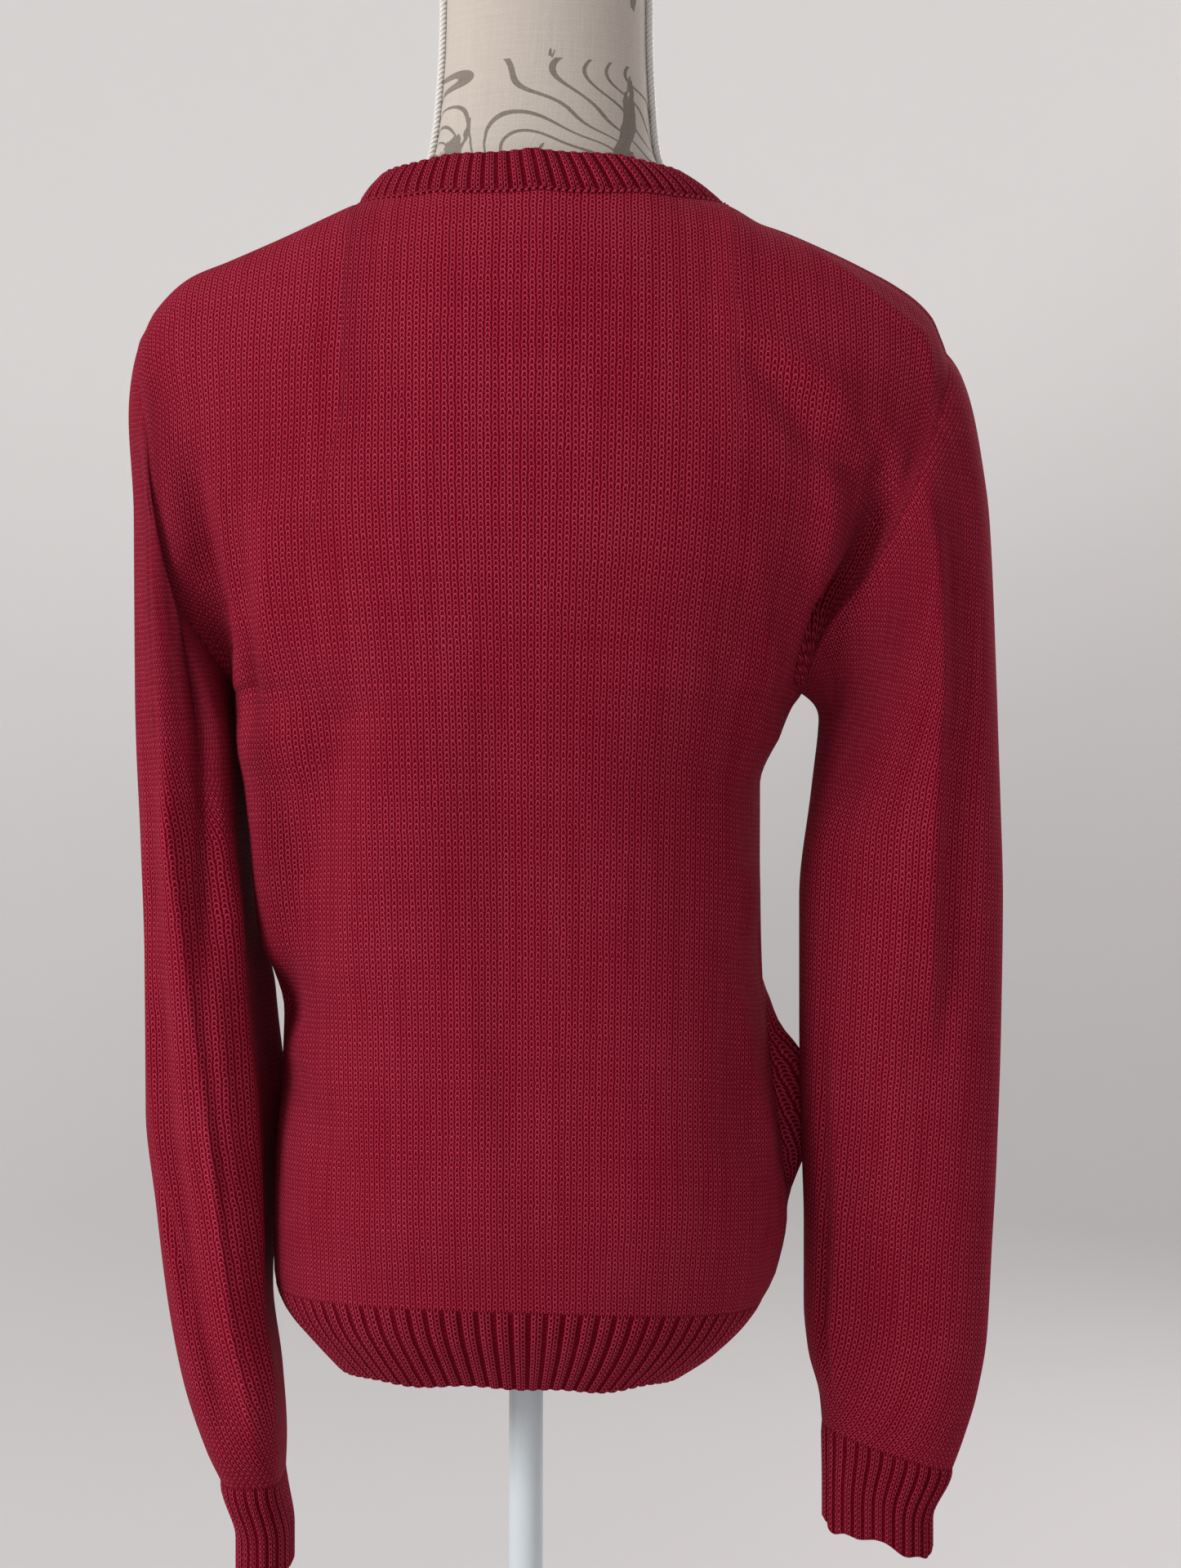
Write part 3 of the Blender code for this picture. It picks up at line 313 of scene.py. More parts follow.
def rounded(tree, value, middle, size):
    # a round bump along one value: 1 in its middle and 0 beyond its size
    share = maths(tree, "DIVIDE", maths(tree, "SUBTRACT", value, middle), size)
    inside = maths(tree, "SUBTRACT", 1.0, maths(tree, "MULTIPLY", share, share))
    return maths(tree, "SQRT", maths(tree, "MAXIMUM", inside, 0.0))


def stitchHeight(tree, across, along):
    # each stitch is an arch: two legs that lean together, and a bend that joins them at the top
    inWale = maths(tree, "FRACT", across)
    side = maths(tree, "ABSOLUTE", maths(tree, "SUBTRACT", inWale, 0.5))
    phase = maths(tree, "FRACT", maths(tree, "MULTIPLY_ADD", side, yarn["lean"], along))
    middle = maths(tree, "MULTIPLY_ADD", phase, -yarn["legSlant"], yarn["legPlace"])
    leg = rounded(tree, side, middle, yarn["strandWidth"])
    full = maths(tree, "MULTIPLY_ADD", rounded(tree, phase, *yarn["legCrown"]), yarn["footDip"],
                 1 - yarn["footDip"])
    bend = maths(tree, "MULTIPLY", rounded(tree, phase, yarn["bend"], yarn["bendSize"]),
                 rounded(tree, side, 0.0, yarn["bendWidth"]))
    return maths(tree, "MAXIMUM", maths(tree, "MULTIPLY", leg, full), bend)


def unevenness(tree, uv, name):
    # one kind of noise over the wales and courses, about zero
    stretch, scale, detail, roughness = yarnNoise[name]
    value = noise(tree, stretched(tree, uv, (*stretch, 1.0)), scale, detail, roughness)
    return maths(tree, "SUBTRACT", value, 0.5)


def knitFinish(name, walesToRib=0):
    # stocking stitch, or ribbing whose last wale of each rib is a narrow purl furrow; its colour follows the
    # stitches' height, with painted shade low down and a painted highlight on top
    material, tree, shader = newFinish(name, yarn["roughness"], yarn["sheen"],
                                       yarn["sheenTint"], yarn["shine"])
    uv = addNode(tree, "ShaderNodeUVMap", uv_map="stitches").outputs[0]
    parts = addNode(tree, "ShaderNodeSeparateXYZ", [(0, uv)])
    wales, wander = parts.outputs[0], yarn["wander"]["plain"]
    if walesToRib:
        place = maths(tree, "FRACT", maths(tree, "DIVIDE", wales, float(walesToRib)))
        wales = maths(tree, "MULTIPLY", place, (walesToRib - 1) / (1 - yarn["furrowShare"]))
        wander = yarn["wander"]["rib"]
    across = maths(tree, "MULTIPLY_ADD", unevenness(tree, uv, "wobble"), wander, wales)
    along = maths(tree, "MULTIPLY_ADD", unevenness(tree, uv, "drift"), yarn["drift"], parts.outputs[1])
    height = stitchHeight(tree, across, along)
    if walesToRib:
        furrow = maths(tree, "GREATER_THAN", place, 1 - yarn["furrowShare"])
        rung = maths(tree, "ABSOLUTE", maths(tree, "SINE", maths(tree, "MULTIPLY", along, math.pi)))
        ladder = maths(tree, "MULTIPLY_ADD", rung, *yarn["rung"])
        straight = maths(tree, "SUBTRACT", 1.0, furrow)
        height = maths(tree, "ADD", maths(tree, "MULTIPLY", height, straight),
                       maths(tree, "MULTIPLY", ladder, furrow))
    thread = unevenness(tree, uv, "thread")
    tone = maths(tree, "MULTIPLY", thread, threadTone)
    for kind, strength in yarnTones:
        tone = maths(tree, "MULTIPLY_ADD", unevenness(tree, uv, kind), strength, tone)
    # painted shade in the hollows and furrows, painted highlight on the crowns
    ramp = addNode(tree, "ShaderNodeValToRGB", [("Fac", maths(tree, "ADD", height, tone))])
    hollowShade, body, crownHighlight = yarn["levels"]
    ramp.color_ramp.elements[0].position = hollowShade
    ramp.color_ramp.elements[0].color = (*yarn["furrow" if walesToRib else "hollowShade"], 1)
    ramp.color_ramp.elements[1].position = crownHighlight
    ramp.color_ramp.elements[1].color = (*yarn["crownHighlight"], 1)
    ramp.color_ramp.elements.new(body).color = (*yarn["body"], 1)
    tree.links.new(ramp.outputs[0], shader.inputs["Base Color"])
    addRelief(tree, shader, maths(tree, "MULTIPLY_ADD", thread, yarn["fuzz"], height), yarn["relief"])
    return material


linen = {
    "cloth": (0.565, 0.508, 0.456),
    "slub": (0.485, 0.428, 0.378),
    "ink": (0.165, 0.135, 0.112),
    "strokesBelow": 0.405,   # the thin strokes stay near the neck's foot
    "thread": 0.0006,
    "roughness": 0.9,
    "sheen": 0.1,
    "slubStretch": (30.0, 900.0),      # a slub is long and thin
    "slubFrom": 0.35,
    "slubContrast": 2.2,
    "brush": {"turn": 38, "scale": (30.0, 11.0), "above": 0.60},
    "strokes": {"scale": (9.0, 16.0), "count": 95.0, "above": 0.86},
    "wear": (0.5, 0.6),                # the ink is thinner on hollow threads
    "relief": {"depth": 0.0004, "strength": 0.6, "weave": 0.3},
}


def linenFinish():
    # plain weave with loose grey brush marks and a few thin curved strokes
    material, tree, shader = newFinish("printedLinen", linen["roughness"], linen["sheen"])
    uv = addNode(tree, "ShaderNodeUVMap", uv_map="stitches").outputs[0]
    parts = addNode(tree, "ShaderNodeSeparateXYZ", [(0, uv)])
    turns = math.pi / linen["thread"]
    warp = maths(tree, "SINE", maths(tree, "MULTIPLY", parts.outputs[0], turns))
    weft = maths(tree, "SINE", maths(tree, "MULTIPLY", parts.outputs[1], turns))
    weave = maths(tree, "MULTIPLY", warp, weft)
    long, thin = linen["slubStretch"]
    slub = noise(tree, stretched(tree, uv, (long, thin, 1.0)), 1.0, 2.0)
    slubUp = noise(tree, stretched(tree, uv, (thin, long, 1.0)), 1.0, 2.0)
    uneven = maths(tree, "MULTIPLY_ADD", slubUp, 0.5, maths(tree, "MULTIPLY", slub, 0.5))
    slubShare = maths(tree, "MULTIPLY", maths(tree, "SUBTRACT", uneven, linen["slubFrom"]),
                      linen["slubContrast"])
    ground = blend(tree, slubShare, linen["cloth"], linen["slub"])
    brush, strokes = linen["brush"], linen["strokes"]
    turned = addNode(tree, "ShaderNodeMapping", [("Vector", uv)])
    turned.inputs["Rotation"].default_value = (0, 0, math.radians(brush["turn"]))
    turned.inputs["Scale"].default_value = (*brush["scale"], 1.0)
    marks = maths(tree, "GREATER_THAN", noise(tree, turned.outputs[0], 1.0, 4.0, 0.55), brush["above"])
    contour = noise(tree, stretched(tree, uv, (*strokes["scale"], 1.0)), 1.0, 0.5)
    wave = maths(tree, "SINE", maths(tree, "MULTIPLY", contour, strokes["count"]))
    stroke = maths(tree, "GREATER_THAN", wave, strokes["above"])
    low = maths(tree, "LESS_THAN", parts.outputs[1], linen["strokesBelow"])
    ink = maths(tree, "MAXIMUM", marks, maths(tree, "MULTIPLY", stroke, low))
    worn = maths(tree, "MULTIPLY", ink, maths(tree, "MULTIPLY_ADD", uneven, *linen["wear"]))
    tree.links.new(blend(tree, worn, ground, linen["ink"]), shader.inputs["Base Color"])
    relief = linen["relief"]
    addRelief(tree, shader, maths(tree, "MULTIPLY_ADD", weave, relief["weave"], uneven),
              relief["depth"], relief["strength"])
    return material


grain = {"fineness": 9, "broad": 0.6, "fine": 0.4, "dulling": 0.2}   # of the plain finishes


def plainFinish(name, values):
    # painted, satin or wooden surfaces: a base colour with soft unevenness and fine relief
    material, tree, shader = newFinish(name, values["roughness"], values.get("sheen", 0.0))
    place = addNode(tree, "ShaderNodeTexCoord").outputs["Object"]
    broad = noise(tree, stretched(tree, place, values["stretch"]), values["scale"], 4.0, 0.6)
    fine = noise(tree, stretched(tree, place, values["stretch"]), values["scale"] * grain["fineness"], 2.0)
    both = maths(tree, "MULTIPLY_ADD", fine, grain["fine"],
                 maths(tree, "MULTIPLY", broad, grain["broad"]))
    tree.links.new(blend(tree, both, values["dark"], values["light"]), shader.inputs["Base Color"])
    dull = maths(tree, "MULTIPLY_ADD", both, grain["dulling"],
                 values["roughness"] - grain["dulling"] / 2)
    tree.links.new(dull, shader.inputs["Roughness"])
    addRelief(tree, shader, both, values["relief"])
    return material


paint = {"dark": (0.585, 0.655, 0.70), "light": (0.70, 0.765, 0.80), "roughness": 0.36,
         "stretch": (1.0, 1.0, 0.35), "scale": 38.0, "relief": 0.00008}
wood = {"dark": (0.40, 0.27, 0.16), "light": (0.66, 0.51, 0.34), "roughness": 0.5,
        "stretch": (0.5, 9.0, 9.0), "scale": 9.0, "relief": 0.0001}
satinThread = {"dark": (0.66, 0.64, 0.61), "light": (0.93, 0.92, 0.90), "roughness": 0.33,
               "stretch": (1.0, 1.0, 1.0), "scale": 700.0, "relief": 0.0001, "sheen": 0.3}
floorPaint = {"dark": (0.72, 0.705, 0.70), "light": (0.76, 0.745, 0.74), "roughness": 0.9,
              "stretch": (1.0, 1.0, 1.0), "scale": 2.0, "relief": 0.0002}

crimsonKnit = knitFinish("crimsonKnit")
crimsonRib = knitFinish("crimsonRib", yarn["walesToRib"])
printedLinen = linenFinish()
palePaint = plainFinish("palePaint", paint)
paleWood = plainFinish("paleWood", wood)
whiteThread = plainFinish("whiteThread", satinThread)
print("materials mixed")


# the worn shape: one surface for both panels, the same as the solids have

garment = {
    "level": 1.05,            # height of the tables' zero line
    "wall": 0.0022,
    "seamGap": 0.0003,
    "underarm": 0.052,
    "shoulderReach": 0.2285,
    "neckReach": 0.107,
    "lean": -0.0098,
    "sideRounding": 2.4,
    "domeRounding": 2.6,
    "armhole": {"back": 0.055, "front": 0.058},
    "neckDepth": {"back": 0.065, "front": 0.098},
    "hemLine": (-0.289, 0.005, 0.0085),   # height at the sides, tilt, rise in the middle
    "halfColumns": 14,
    "neckColumns": 6,
    "lowerRows": 9,
    "upperRows": 14,
    "evenBelow": 0.30,        # how far the columns are evened out below the armholes
    "lowerSpread": 1.4,       # rows lie closer together towards the armholes
    "upperSpread": 1.3,
    "neckRounding": 2.2,
    "holeRounding": 0.85,
    "edgePower": 6,           # the panel's edge climbs in a soft S
    "leanFrom": 0.20,         # the shoulders' sideways lean starts here
    "leanOver": 0.06,
}

bodyTable = {
    "columns": ("height", "left", "right", "back", "front"),
    "rows": [
        (-0.300, 0.1370, 0.1320, 0.1020, 0.0980),
        (-0.277, 0.1440, 0.1440, 0.1070, 0.1040),
        (-0.245, 0.1445, 0.1500, 0.1100, 0.1090),
        (-0.215, 0.1435, 0.1475, 0.1080, 0.1110),
        (-0.165, 0.1405, 0.1415, 0.1020, 0.1120),
        (-0.130, 0.1395, 0.1375, 0.0970, 0.1130),
        (-0.090, 0.1500, 0.1355, 0.0950, 0.1150),
        (-0.042, 0.1545, 0.1345, 0.0990, 0.1185),
        (0.000, 0.1550, 0.1345, 0.1050, 0.1220),
        (0.028, 0.1600, 0.1460, 0.1090, 0.1240),
        (0.044, 0.1615, 0.1530, 0.1112, 0.1248),
        (0.052, 0.1640, 0.1585, 0.1120, 0.1250),
        (0.074, 0.1760, 0.1640, 0.1120, 0.1250),
        (0.092, 0.1870, 0.1730, 0.1120, 0.1250),
        (0.115, 0.1965, 0.1910, 0.1120, 0.1250),
        (0.140, 0.2015, 0.2050, 0.1120, 0.1250),
        (0.170, 0.2045, 0.2185, 0.1120, 0.1250),
        (0.205, 0.2090, 0.2300, 0.1120, 0.1250),
        (0.2475, 0.2187, 0.2383, 0.1120, 0.1250),
    ],
}
crestTable = {
    "columns": ("reach", "left", "right"),
    "rows": [
        (0.000, 0.3586, 0.3586),
        (0.050, 0.3502, 0.3502),
        (0.080, 0.3386, 0.3386),
        (0.107, 0.3295, 0.3285),
        (0.122, 0.3228, 0.3198),
        (0.146, 0.3118, 0.3095),
        (0.178, 0.2985, 0.2950),
        (0.200, 0.2898, 0.2832),
        (0.220, 0.2715, 0.2665),
        (0.2285, 0.2530, 0.2460),
    ],
}


def crestHeight(reach):
    return np.where(reach > 0, curve(crestTable, "left", np.abs(reach)),
                    curve(crestTable, "right", np.abs(reach)))


def columnPlace(j, up):
    # where a column stands across the body, -1 to 1: even round it below, even across it above
    part = j / garment["halfColumns"]
    below = signedPower(np.sin(part * math.pi / 2), 2 / garment["sideRounding"])
    power = (math.log(garment["neckReach"] / garment["shoulderReach"])
             / math.log(garment["neckColumns"] / garment["halfColumns"]))
    return below + (signedPower(part, power) - below) * ease(up)


def sideX(u, height):
    left = curve(bodyTable, "left", height)
    right = curve(bodyTable, "right", height)
    return (left - right) / 2 + u * (left + right) / 2


def bodyPoints(j, row, side):
    # points of the worn surface; j counts columns from the middle, row from the hem
    j, row = np.broadcast_arrays(j, row)
    sign = 1 if side == "back" else -1
    lower = np.minimum(row / garment["lowerRows"], 1)
    upper = np.maximum(row - garment["lowerRows"], 0) / garment["upperRows"]
    even = garment["evenBelow"]
    u = columnPlace(j, even * ease(lower * 1.2 - 0.2) + (1 - even) * ease(upper * 1.6))
    start, tilt, rise = garment["hemLine"]
    foot = start + tilt * u + rise * (1 - u * u)
    under = garment["underarm"]
    lowHeight = foot + (under - foot) * (1 - (1 - lower) ** garment["lowerSpread"])
    belly = np.sqrt(np.maximum(1 - np.abs(u) ** garment["sideRounding"], 0))
    low = np.stack([sideX(u, lowHeight), sign * curve(bodyTable, side, lowHeight) * belly, lowHeight], -1)

    reach = columnPlace(j, 1.0) * garment["shoulderReach"]
    top = crestHeight(reach) - under
    depth = curve(bodyTable, side, under + top / 2)
    near = np.minimum(np.abs(reach) / garment["neckReach"], 1)
    neck = garment["neckDepth"][side] * np.sqrt(np.maximum(1 - near ** garment["neckRounding"], 0))
    atNeck = np.abs(j) < garment["neckColumns"]
    quarter = np.where(atNeck, np.arccos(np.minimum(neck / depth, 0.97) ** (garment["domeRounding"] / 2)),
                       math.pi / 2)
    angle = quarter * upper ** garment["upperSpread"]
    domePower = 2 / garment["domeRounding"]
    climb = np.maximum(np.sin(angle), 0) ** domePower
    fall = np.maximum(np.cos(angle), 0) ** domePower
    fall = np.where((upper >= 1) & ~atNeck, 0, fall)
    edge = np.abs(u) ** garment["edgePower"]
    height = under + top * ((1 - edge) * climb + edge * (1 - np.cos(math.pi * upper)) / 2)
    hole = garment["armhole"][side] * np.maximum(np.sin(math.pi * upper), 0) ** garment["holeRounding"]
    hole = np.where(upper >= 1, 0, hole)
    inside = np.maximum(1 - np.abs(u) ** garment["sideRounding"], 0) ** (0.5 + 0.5 * ease(upper / 0.3))
    outwards = ease(np.abs(j) - garment["neckColumns"] + 1)
    out = depth * fall * inside + hole * (1 - inside) * (fall + (1 - fall) * outwards)
    x = sideX(u, height)
    x = x + (garment["lean"] + reach - x) * ease((height - garment["leanFrom"]) / garment["leanOver"])
    high = np.stack([x, sign * out, height], -1)
    return np.where((upper > 0)[..., None], high, low)


# folds in the panels, each from one place to another: x0, h0, x1, h1, width, depth
backFolds = [
    (0.202, 0.190, 0.196, 0.120, 0.012, 0.0035),
    (0.136, 0.140, 0.130, 0.015, 0.014, 0.0035),
    (0.100, 0.030, 0.132, -0.125, 0.018, -0.0075),
    (0.142, 0.020, 0.140, -0.090, 0.014, 0.0045),
    (0.132, -0.165, 0.085, -0.225, 0.016, -0.0035),
    (-0.145, 0.045, -0.160, 0.110, 0.013, -0.0030),
    (-0.128, -0.090, -0.120, -0.190, 0.014, -0.0035),
    (-0.080, -0.235, 0.080, -0.235, 0.030, 0.0040),
    (0.015, 0.020, 0.000, -0.180, 0.022, -0.0020),
    (-0.128, 0.120, -0.142, 0.030, 0.008, 0.0016),
    (-0.112, 0.060, -0.128, -0.040, 0.009, -0.0018),
    (-0.122, -0.120, -0.138, -0.200, 0.006, 0.0024),
    (-0.136, -0.150, -0.146, -0.215, 0.005, -0.0022),
    (0.150, 0.060, 0.122, -0.050, 0.008, -0.0012),
    (0.118, -0.060, 0.128, -0.150, 0.008, 0.0018),
    (0.095, -0.190, 0.125, -0.250, 0.008, 0.0014),
    (0.030, -0.110, 0.012, -0.250, 0.010, 0.0012),
    (-0.030, -0.150, -0.048, -0.255, 0.011, -0.0010),
]
backSweeps = [   # long bent folds: x, height, width and depth at each bend
    # the fold that sweeps from the right shoulder to the armhole
    [(-0.098, 0.262, 0.010, 0.0), (-0.118, 0.246, 0.011, 0.0032), (-0.150, 0.228, 0.012, 0.0046),
     (-0.172, 0.212, 0.012, 0.0054), (-0.190, 0.195, 0.011, 0.0054), (-0.201, 0.176, 0.010, 0.0046),
     (-0.204, 0.158, 0.009, 0.0026), (-0.201, 0.140, 0.008, 0.0)],
    # the valley under it
    [(-0.108, 0.243, 0.008, 0.0), (-0.125, 0.231, 0.009, -0.0026), (-0.143, 0.208, 0.010, -0.0042),
     (-0.157, 0.188, 0.010, -0.0052), (-0.172, 0.176, 0.010, -0.0058), (-0.183, 0.164, 0.009, -0.0062),
     (-0.186, 0.148, 0.009, -0.0062), (-0.180, 0.132, 0.009, -0.0052), (-0.171, 0.118, 0.008, 0.0)],
    # the round edge of the back beside the armhole
    [(-0.160, 0.205, 0.010, 0.0), (-0.170, 0.175, 0.010, 0.0030), (-0.170, 0.140, 0.010, 0.0052),
     (-0.161, 0.105, 0.009, 0.0066), (-0.150, 0.078, 0.009, 0.0050), (-0.143, 0.056, 0.010, 0.0)],
    # and the deep hollow between it and the sleeve
    [(-0.172, 0.222, 0.007, 0.0), (-0.184, 0.204, 0.008, -0.0030), (-0.1970, 0.178, 0.008, -0.0070),
     (-0.1980, 0.150, 0.008, -0.0115), (-0.1895, 0.124, 0.008, -0.0170), (-0.180, 0.108, 0.008, -0.0210),
     (-0.170, 0.094, 0.007, -0.0270), (-0.1645, 0.0765, 0.006, -0.0250), (-0.160, 0.058, 0.005, -0.0080)],
    # the edge of the right shoulder
    [(-0.140, 0.316, 0.005, 0.0), (-0.157, 0.305, 0.005, 0.0014), (-0.195, 0.271, 0.005, 0.0018),
     (-0.222, 0.250, 0.005, 0.0020), (-0.227, 0.225, 0.005, 0.0016), (-0.226, 0.200, 0.005, 0.0)],
    # the cloth closes up under the left arm
    [(0.161, 0.080, 0.008, 0.0), (0.159, 0.045, 0.009, 0.0035), (0.156, 0.012, 0.009, 0.0035),
     (0.154, -0.030, 0.009, 0.0)],
    # the valley beside the left armhole, and the folds that hang from it
    [(0.184, 0.186, 0.007, 0.0), (0.1795, 0.160, 0.008, -0.0050), (0.1745, 0.128, 0.009, -0.0080),
     (0.1700, 0.097, 0.009, -0.0090), (0.1680, 0.072, 0.008, -0.0070), (0.166, 0.054, 0.006, -0.0020)],
    [(0.171, 0.172, 0.005, 0.0), (0.1668, 0.158, 0.006, 0.0026), (0.1630, 0.124, 0.006, 0.0034),
     (0.1600, 0.092, 0.006, 0.0028), (0.158, 0.074, 0.005, 0.0)],
    [(0.156, 0.132, 0.005, 0.0), (0.152, 0.112, 0.005, -0.0020), (0.1490, 0.086, 0.006, -0.0034),
     (0.1475, 0.052, 0.006, -0.0034), (0.146, 0.016, 0.006, 0.0)],
    [(0.140, 0.140, 0.006, 0.0), (0.1395, 0.108, 0.006, 0.0020), (0.1385, 0.052, 0.006, 0.0024),
     (0.138, -0.010, 0.006, 0.0)],
]
backFills = [   # where the back stands further out, beside the left sleeve
    [(0.159, 0.098, 0.010, 0.0), (0.155, 0.072, 0.011, 0.0130), (0.150, 0.030, 0.012, 0.0200),
     (0.146, -0.020, 0.012, 0.0170), (0.142, -0.070, 0.011, 0.0090), (0.138, -0.120, 0.010, 0.0)],
    [(0.196, 0.200, 0.009, 0.0), (0.190, 0.162, 0.012, 0.0050), (0.184, 0.126, 0.012, 0.0070),
     (0.179, 0.100, 0.012, 0.0050), (0.176, 0.080, 0.010, 0.0)],
]
frontFolds = [
    (0.150, 0.040, 0.172, 0.125, 0.014, -0.0065),
    (0.150, 0.230, 0.170, 0.110, 0.020, 0.0045),
    (-0.140, 0.045, -0.165, 0.125, 0.014, -0.0065),
    (-0.150, 0.235, -0.168, 0.110, 0.020, 0.0045),
    (0.110, 0.020, 0.118, -0.080, 0.018, -0.0050),
    (-0.105, 0.010, -0.112, -0.110, 0.018, -0.0060),
    (-0.126, -0.172, -0.128, -0.215, 0.024, 0.0320),
    (-0.124, -0.132, -0.126, -0.150, 0.018, 0.0090),
    (0.110, -0.160, 0.108, -0.225, 0.020, 0.0060),
    (0.100, -0.165, 0.070, -0.215, 0.016, -0.0045),
    (-0.075, -0.230, 0.075, -0.232, 0.030, 0.0045),
    # finer creases
    (0.160, 0.205, 0.178, 0.100, 0.007, 0.0026),
    (0.138, 0.150, 0.150, 0.060, 0.007, -0.0022),
    (-0.158, 0.200, -0.180, 0.100, 0.007, 0.0026),
    (-0.136, 0.145, -0.150, 0.050, 0.008, -0.0020),
    (0.095, 0.080, 0.118, -0.030, 0.010, 0.0020),
    (-0.092, 0.070, -0.116, -0.050, 0.010, 0.0018),
    (0.020, 0.150, 0.060, 0.050, 0.016, -0.0016),
    (-0.050, -0.100, -0.070, -0.240, 0.012, 0.0016),
    (0.040, -0.120, 0.055, -0.250, 0.012, 0.0014),
]


def foldOffset(x, height, folds):
    total = np.zeros_like(x)
    for x0, h0, x1, h1, width, depth in folds:
        run = np.array((x1 - x0, h1 - h0))
        along = np.clip(((x - x0) * run[0] + (height - h0) * run[1]) / (run @ run), 0, 1)
        away = np.hypot(x - x0 - along * run[0], height - h0 - along * run[1]) / width
        total += depth * np.exp(-away * away)
    return total


def sweepOffset(x, height, sweeps):
    # the same for bent folds: each point follows the nearest stretch
    total = np.zeros_like(x)
    for bends in sweeps:
        nearest = np.full_like(x, np.inf)
        offset = np.zeros_like(x)
        for (x0, h0, w0, d0), (x1, h1, w1, d1) in zip(bends, bends[1:]):
            run = np.array((x1 - x0, h1 - h0))
            along = np.clip(((x - x0) * run[0] + (height - h0) * run[1]) / (run @ run), 0, 1)
            away = np.hypot(x - x0 - along * run[0], height - h0 - along * run[1])
            push = (d0 + (d1 - d0) * along) * np.exp(-(away / (w0 + (w1 - w0) * along)) ** 2)
            offset = np.where(away < nearest, push, offset)
            nearest = np.minimum(nearest, away)
        total += offset
    return total


panels = {
    "neckSteps": 108,        # columns of points across the neckline, close together at its ends
    "sideSteps": 60,         # and from there to each armhole
    "stepsToRow": 7,
    "seamDip": 0.0004,       # the cloth rolls in at its seams
    "seamRoll": 0.0020,
    "armholeTurn": {"left": 0.018, "right": 0.012},   # width over which the panel follows the seam
    "sleeveTurn": 0.030,     # and the sleeve
    "middleWale": -0.004,    # where the panels' middle wale hangs
    "shoulderRidge": {"height": 0.0024, "below": 0.0105, "width": 0.0034, "from": 0.118, "over": 0.03},
    "foldCalm": {"hem": 2, "shoulder": 3, "armhole": 0.8},   # rows and columns over which folds fade
    "turnCalm": {"underarm": 2, "shoulder": 1.5},            # and the ridge beside the armhole
    "ridgePlace": 0.0042,    # from the armhole
    "ridgeWidth": 0.0022,
    "sinkFade": 0.02,        # near the side seam the armhole isn't pulled in
    "waleGauge": {"columns": ("height", "width"),
                  "rows": [(-0.30, 0.00315), (-0.10, 0.00335), (0.05, 0.00350),
                           (0.16, 0.00385), (0.34, 0.00405)]},
    "courseGauge": {"columns": ("height", "rise"),
                    "rows": [(-0.30, 0.00245), (-0.20, 0.00265), (0.00, 0.00300), (0.34, 0.00310)]},
}

armholeDepth = {   # how deep the armhole seams lie; under 0 they stand out
    "columns": ("height", "left", "right", "leftRidge", "rightRidge"),
    "rows": [
        (0.052, -0.0005, 0.0060, 0.0, 0.0),
        (0.075, -0.0045, 0.0090, 0.0, 0.0),
        (0.105, -0.0085, 0.0010, 0.0, 0.0),
        (0.135, -0.0095, -0.0060, 0.0, 0.0),
        (0.165, -0.0095, -0.0085, 0.0, 0.0),
        (0.205, -0.0065, -0.0060, 0.0, 0.0),
        (0.250, -0.0003, -0.0004, 0.0008, 0.0006),
    ],
}

lastRow = garment["lowerRows"] + garment["upperRows"]
neckJ = garment["neckColumns"] * np.sin(np.linspace(-math.pi / 2, math.pi / 2, panels["neckSteps"] + 1))
sideJ = np.linspace(garment["neckColumns"], garment["halfColumns"], panels["sideSteps"] + 1)[1:]
panelJ = np.concatenate([-sideJ[::-1], neckJ, sideJ])
panelRows = np.arange(lastRow * panels["stepsToRow"] + 1) / panels["stepsToRow"]


def stitchMap(grid, waleGauge, courseGauge, closed):
    # wales counted from the middle of each row, courses from the first row
    if closed:
        grid = np.concatenate([grid, grid[:, :1]], axis=1)
    height = grid[..., 2]
    across = np.linalg.norm(np.diff(grid, axis=1), axis=-1)
    across = np.concatenate([np.zeros((len(grid), 1)), np.cumsum(across, axis=1)], axis=1)
    if closed:
        middle = across[:, grid.shape[1] // 2]
    else:                      # a panel's middle wale hangs straight down
        middle = np.array([np.interp(panels["middleWale"], x, run)
                           for x, run in zip(grid[..., 0], across)])
    wales = (across - middle[:, None]) / waleGauge(height)
    along = np.linalg.norm(np.diff(grid, axis=0), axis=-1) / courseGauge(height[1:])
    courses = np.concatenate([np.zeros((1, grid.shape[1])), np.cumsum(along, axis=0)])
    return np.stack([wales, courses], -1)


def panelGrid(side):
    j, row = np.meshgrid(panelJ, panelRows)
    smooth = bodyPoints(j, row, side)
    flip = side == "front"
    normals = gridNormals(smooth, flip)
    fade = panels["foldCalm"]
    calm = ease(row / fade["hem"]) * ease((lastRow - row) / fade["shoulder"])
    calm = calm * ease((garment["halfColumns"] - np.abs(j)) / fade["armhole"])
    push = foldOffset(smooth[..., 0], smooth[..., 2], backFolds if side == "back" else frontFolds)
    if side == "back":
        push = push + sweepOffset(smooth[..., 0], smooth[..., 2], backSweeps)
    grid = smooth + normals * (push * calm)[..., None]
    if side == "back":
        grid[..., 1] += sweepOffset(smooth[..., 0], smooth[..., 2], backFills) * calm
    return grid, gridNormals(grid, flip), smooth


def meetPanels(normals):
    # at side seams and shoulder seams the two panels stand edge to edge
    low = panelRows <= garment["lowerRows"]
    for column in (0, -1):
        normals[low, column, 1] = 0
    shoulder = np.abs(panelJ) >= garment["neckColumns"]
    normals[-1, shoulder, 1] = 0


